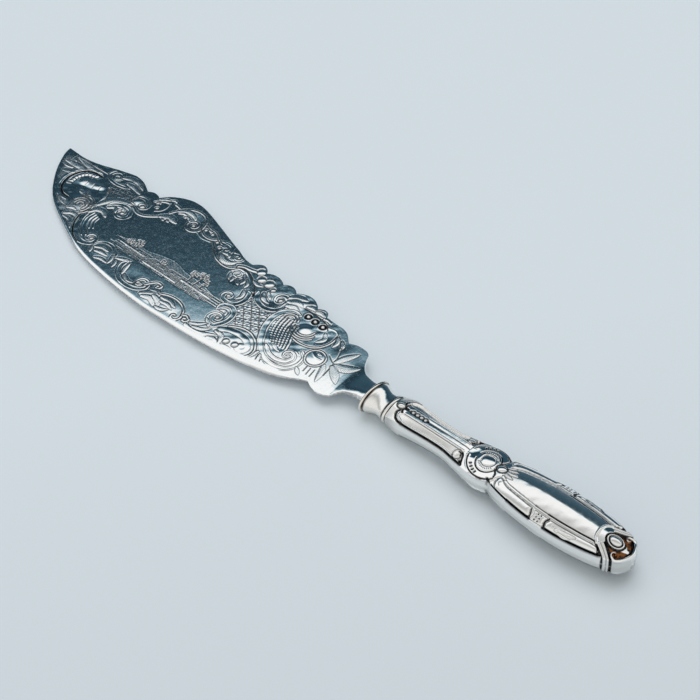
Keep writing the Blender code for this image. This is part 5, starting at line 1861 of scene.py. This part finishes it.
@dataclass
class Filling:
    """The tang and the pitch hidden in the handle, which keep their solids."""

    steel: Dull = Dull("tang_iron", (0.36, 0.34, 0.33), (0.16, 0.14, 0.13), roughness=0.5, metallic=1.0)
    pitch: Dull = Dull(
        "filling_pitch", (0.09, 0.065, 0.045), (0.035, 0.025, 0.02), roughness=0.75, metallic=0.0,
    )

    def build(self) -> list[Piece]:
        """Dress the two solids.

        Returns:
            The two solids.
        """
        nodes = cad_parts
        dress(nodes["tang"], self.steel)
        dress(nodes["handle_filler"], self.pitch)
        return [nodes["tang"], nodes["handle_filler"]]


# Studio


@dataclass
class Studio:
    """Pale table, soft surroundings that the silver mirrors, and the camera."""

    azimuth: float = 42.73724
    elevation: float = 45.0
    distance: float = 0.758203
    target: Triple = (0.012295, 0.010609, 0.0)
    lens: float = 100.0
    sensor: float = 36.0
    table: Colour = (0.80, 0.88, 0.94)
    table_half: float = 30.0
    painted_shade_direction: Triple = (0.75, -0.55, 0.0)
    sun: float = 1.02
    sun_spread: float = 60.0
    sun_from: Triple = (-0.37, 0.41, 0.85)
    fill: float = 0.76
    # Elevation of what the silver mirrors, from the far horizon over the top, and its colour
    surround: tuple[tuple[float, Colour], ...] = (
        (0.0, (0.34, 0.40, 0.44)), (3.0, (0.17, 0.23, 0.28)), (8.0, (0.075, 0.125, 0.165)),
        (18.0, (0.042, 0.088, 0.125)), (30.0, (0.032, 0.072, 0.103)), (38.0, (0.014, 0.034, 0.050)),
        (40.5, (0.028, 0.060, 0.082)), (43.0, (0.078, 0.16, 0.21)), (45.0, (0.225, 0.365, 0.44)),
        (46.5, (0.48, 0.615, 0.675)), (48.0, (0.80, 0.87, 0.90)), (50.0, (0.98, 1.0, 1.0)),
        (70.0, (0.99, 1.0, 1.0)), (79.0, (0.58, 0.60, 0.60)), (87.0, (0.46, 0.47, 0.46)),
        (97.0, (0.66, 0.66, 0.64)), (107.0, (0.80, 0.80, 0.78)), (128.0, (0.86, 0.86, 0.83)),
        (180.0, (0.84, 0.84, 0.82)),
    )

    def back(self) -> Vector:
        """Direction from the target to the camera."""
        a, e = math.radians(self.azimuth), math.radians(self.elevation)
        return Vector((math.sin(a) * math.cos(e), -math.cos(a) * math.cos(e), math.sin(e)))

    def camera(self) -> None:
        """Set the camera on its direction, looking at the target."""
        view = bpy.data.cameras.new("studio_camera")
        view.lens = self.lens
        view.sensor_width = self.sensor
        view.clip_start = 0.01
        eye = bpy.data.objects.new("studio_camera", view)
        eye.location = Vector(self.target) + self.back() * self.distance
        eye.rotation_euler = self.back().to_track_quat("Z", "Y").to_euler()
        bpy.context.scene.collection.objects.link(eye)
        bpy.context.scene.camera = eye

    def paper(self) -> bpy.types.Material:
        """Node material of the table: a pale tone with a faint mottle, darkened towards one side as painted
        shade.

        Returns:
            The material.
        """
        made, tree, shader, place = plain("table_paper")
        shader.inputs["Roughness"].default_value = 0.9
        shader.inputs["Specular IOR Level"].default_value = 0.1
        tone = blend(tree, noise(tree, place, 14.0, 3.0), opaque(self.table, 0.985), opaque(self.table))
        # Painted shade: the table darkens along this direction.
        sockets = {0: place, 1: self.painted_shade_direction}
        away = node(tree, "ShaderNodeVectorMath", sockets, operation="DOT_PRODUCT").outputs["Value"]
        tone = blend(tree, clamped(tree, away), tone, opaque(self.table, 0.5))
        tree.links.new(tone, shader.inputs["Base Color"])
        return made

    def floor(self) -> None:
        """Lay the flat square table top."""
        r = self.table_half
        mesh = bpy.data.meshes.new("table_top")
        mesh.from_pydata([(-r, -r, 0.0), (r, -r, 0.0), (r, r, 0.0), (-r, r, 0.0)], [], [(0, 1, 2, 3)])
        mesh.materials.append(self.paper())
        floor = bpy.data.objects.new("table_top", mesh)
        bpy.context.scene.collection.objects.link(floor)

    def world(self) -> None:
        """Surroundings coloured by elevation in the plane that runs away from the camera."""
        world = bpy.data.worlds.new("studio_surround")
        bpy.context.scene.world = world
        world.use_nodes = True
        tree = world.node_tree
        sky = tree.nodes["Background"]
        place = node(tree, "ShaderNodeTexCoord").outputs["Generated"]
        a = math.radians(self.azimuth)
        sockets = {0: place, 1: (-math.sin(a), math.cos(a), 0.0)}
        away = node(tree, "ShaderNodeVectorMath", sockets, operation="DOT_PRODUCT").outputs["Value"]
        up = node(tree, "ShaderNodeSeparateXYZ", {0: place}).outputs["Z"]
        share = maths(tree, "DIVIDE", maths(tree, "ARCTAN2", up, away), math.pi)
        ramp = node(tree, "ShaderNodeValToRGB", {0: share})
        stops = ramp.color_ramp.elements
        while len(stops) < len(self.surround):
            stops.new(0.5)
        for stop, (degrees, colour) in zip(stops, self.surround):
            stop.position = degrees / 180.0
            stop.color = opaque(colour)
        tree.links.new(ramp.outputs["Color"], sky.inputs["Color"])
        bounce = node(tree, "ShaderNodeLightPath").outputs["Is Diffuse Ray"]
        strength = maths(tree, "MULTIPLY_ADD", bounce, self.fill - 1.0, 1.0)
        tree.links.new(strength, sky.inputs["Strength"])

    def lamp(self) -> None:
        """Wide soft light from behind the object, kept out of the mirror image."""
        light = bpy.data.lights.new("soft_sky", "SUN")
        light.energy = self.sun
        light.angle = math.radians(self.sun_spread)
        sky = bpy.data.objects.new("soft_sky", light)
        sky.location = self.sun_from
        sky.rotation_euler = Vector(self.sun_from).to_track_quat("Z", "Y").to_euler()
        sky.visible_glossy = False
        bpy.context.scene.collection.objects.link(sky)

    def build(self) -> None:
        """Set up everything round the object."""
        bpy.context.scene.view_settings.view_transform = "Standard"
        self.camera()
        self.floor()
        self.world()
        self.lamp()


def main() -> None:
    """Build the studio and the sub-assemblies in order and report every piece."""
    logging.basicConfig(level=logging.INFO, format="%(name)s: %(message)s")
    Studio().build()
    for assembly in (Blade(), Collar(), Handle(), Filling()):
        for piece in assembly.build():
            LOG.info("%s: %d faces", piece.name, len(piece.data.polygons))
    bpy.context.view_layer.update()


if __name__ == "__main__":
    main()
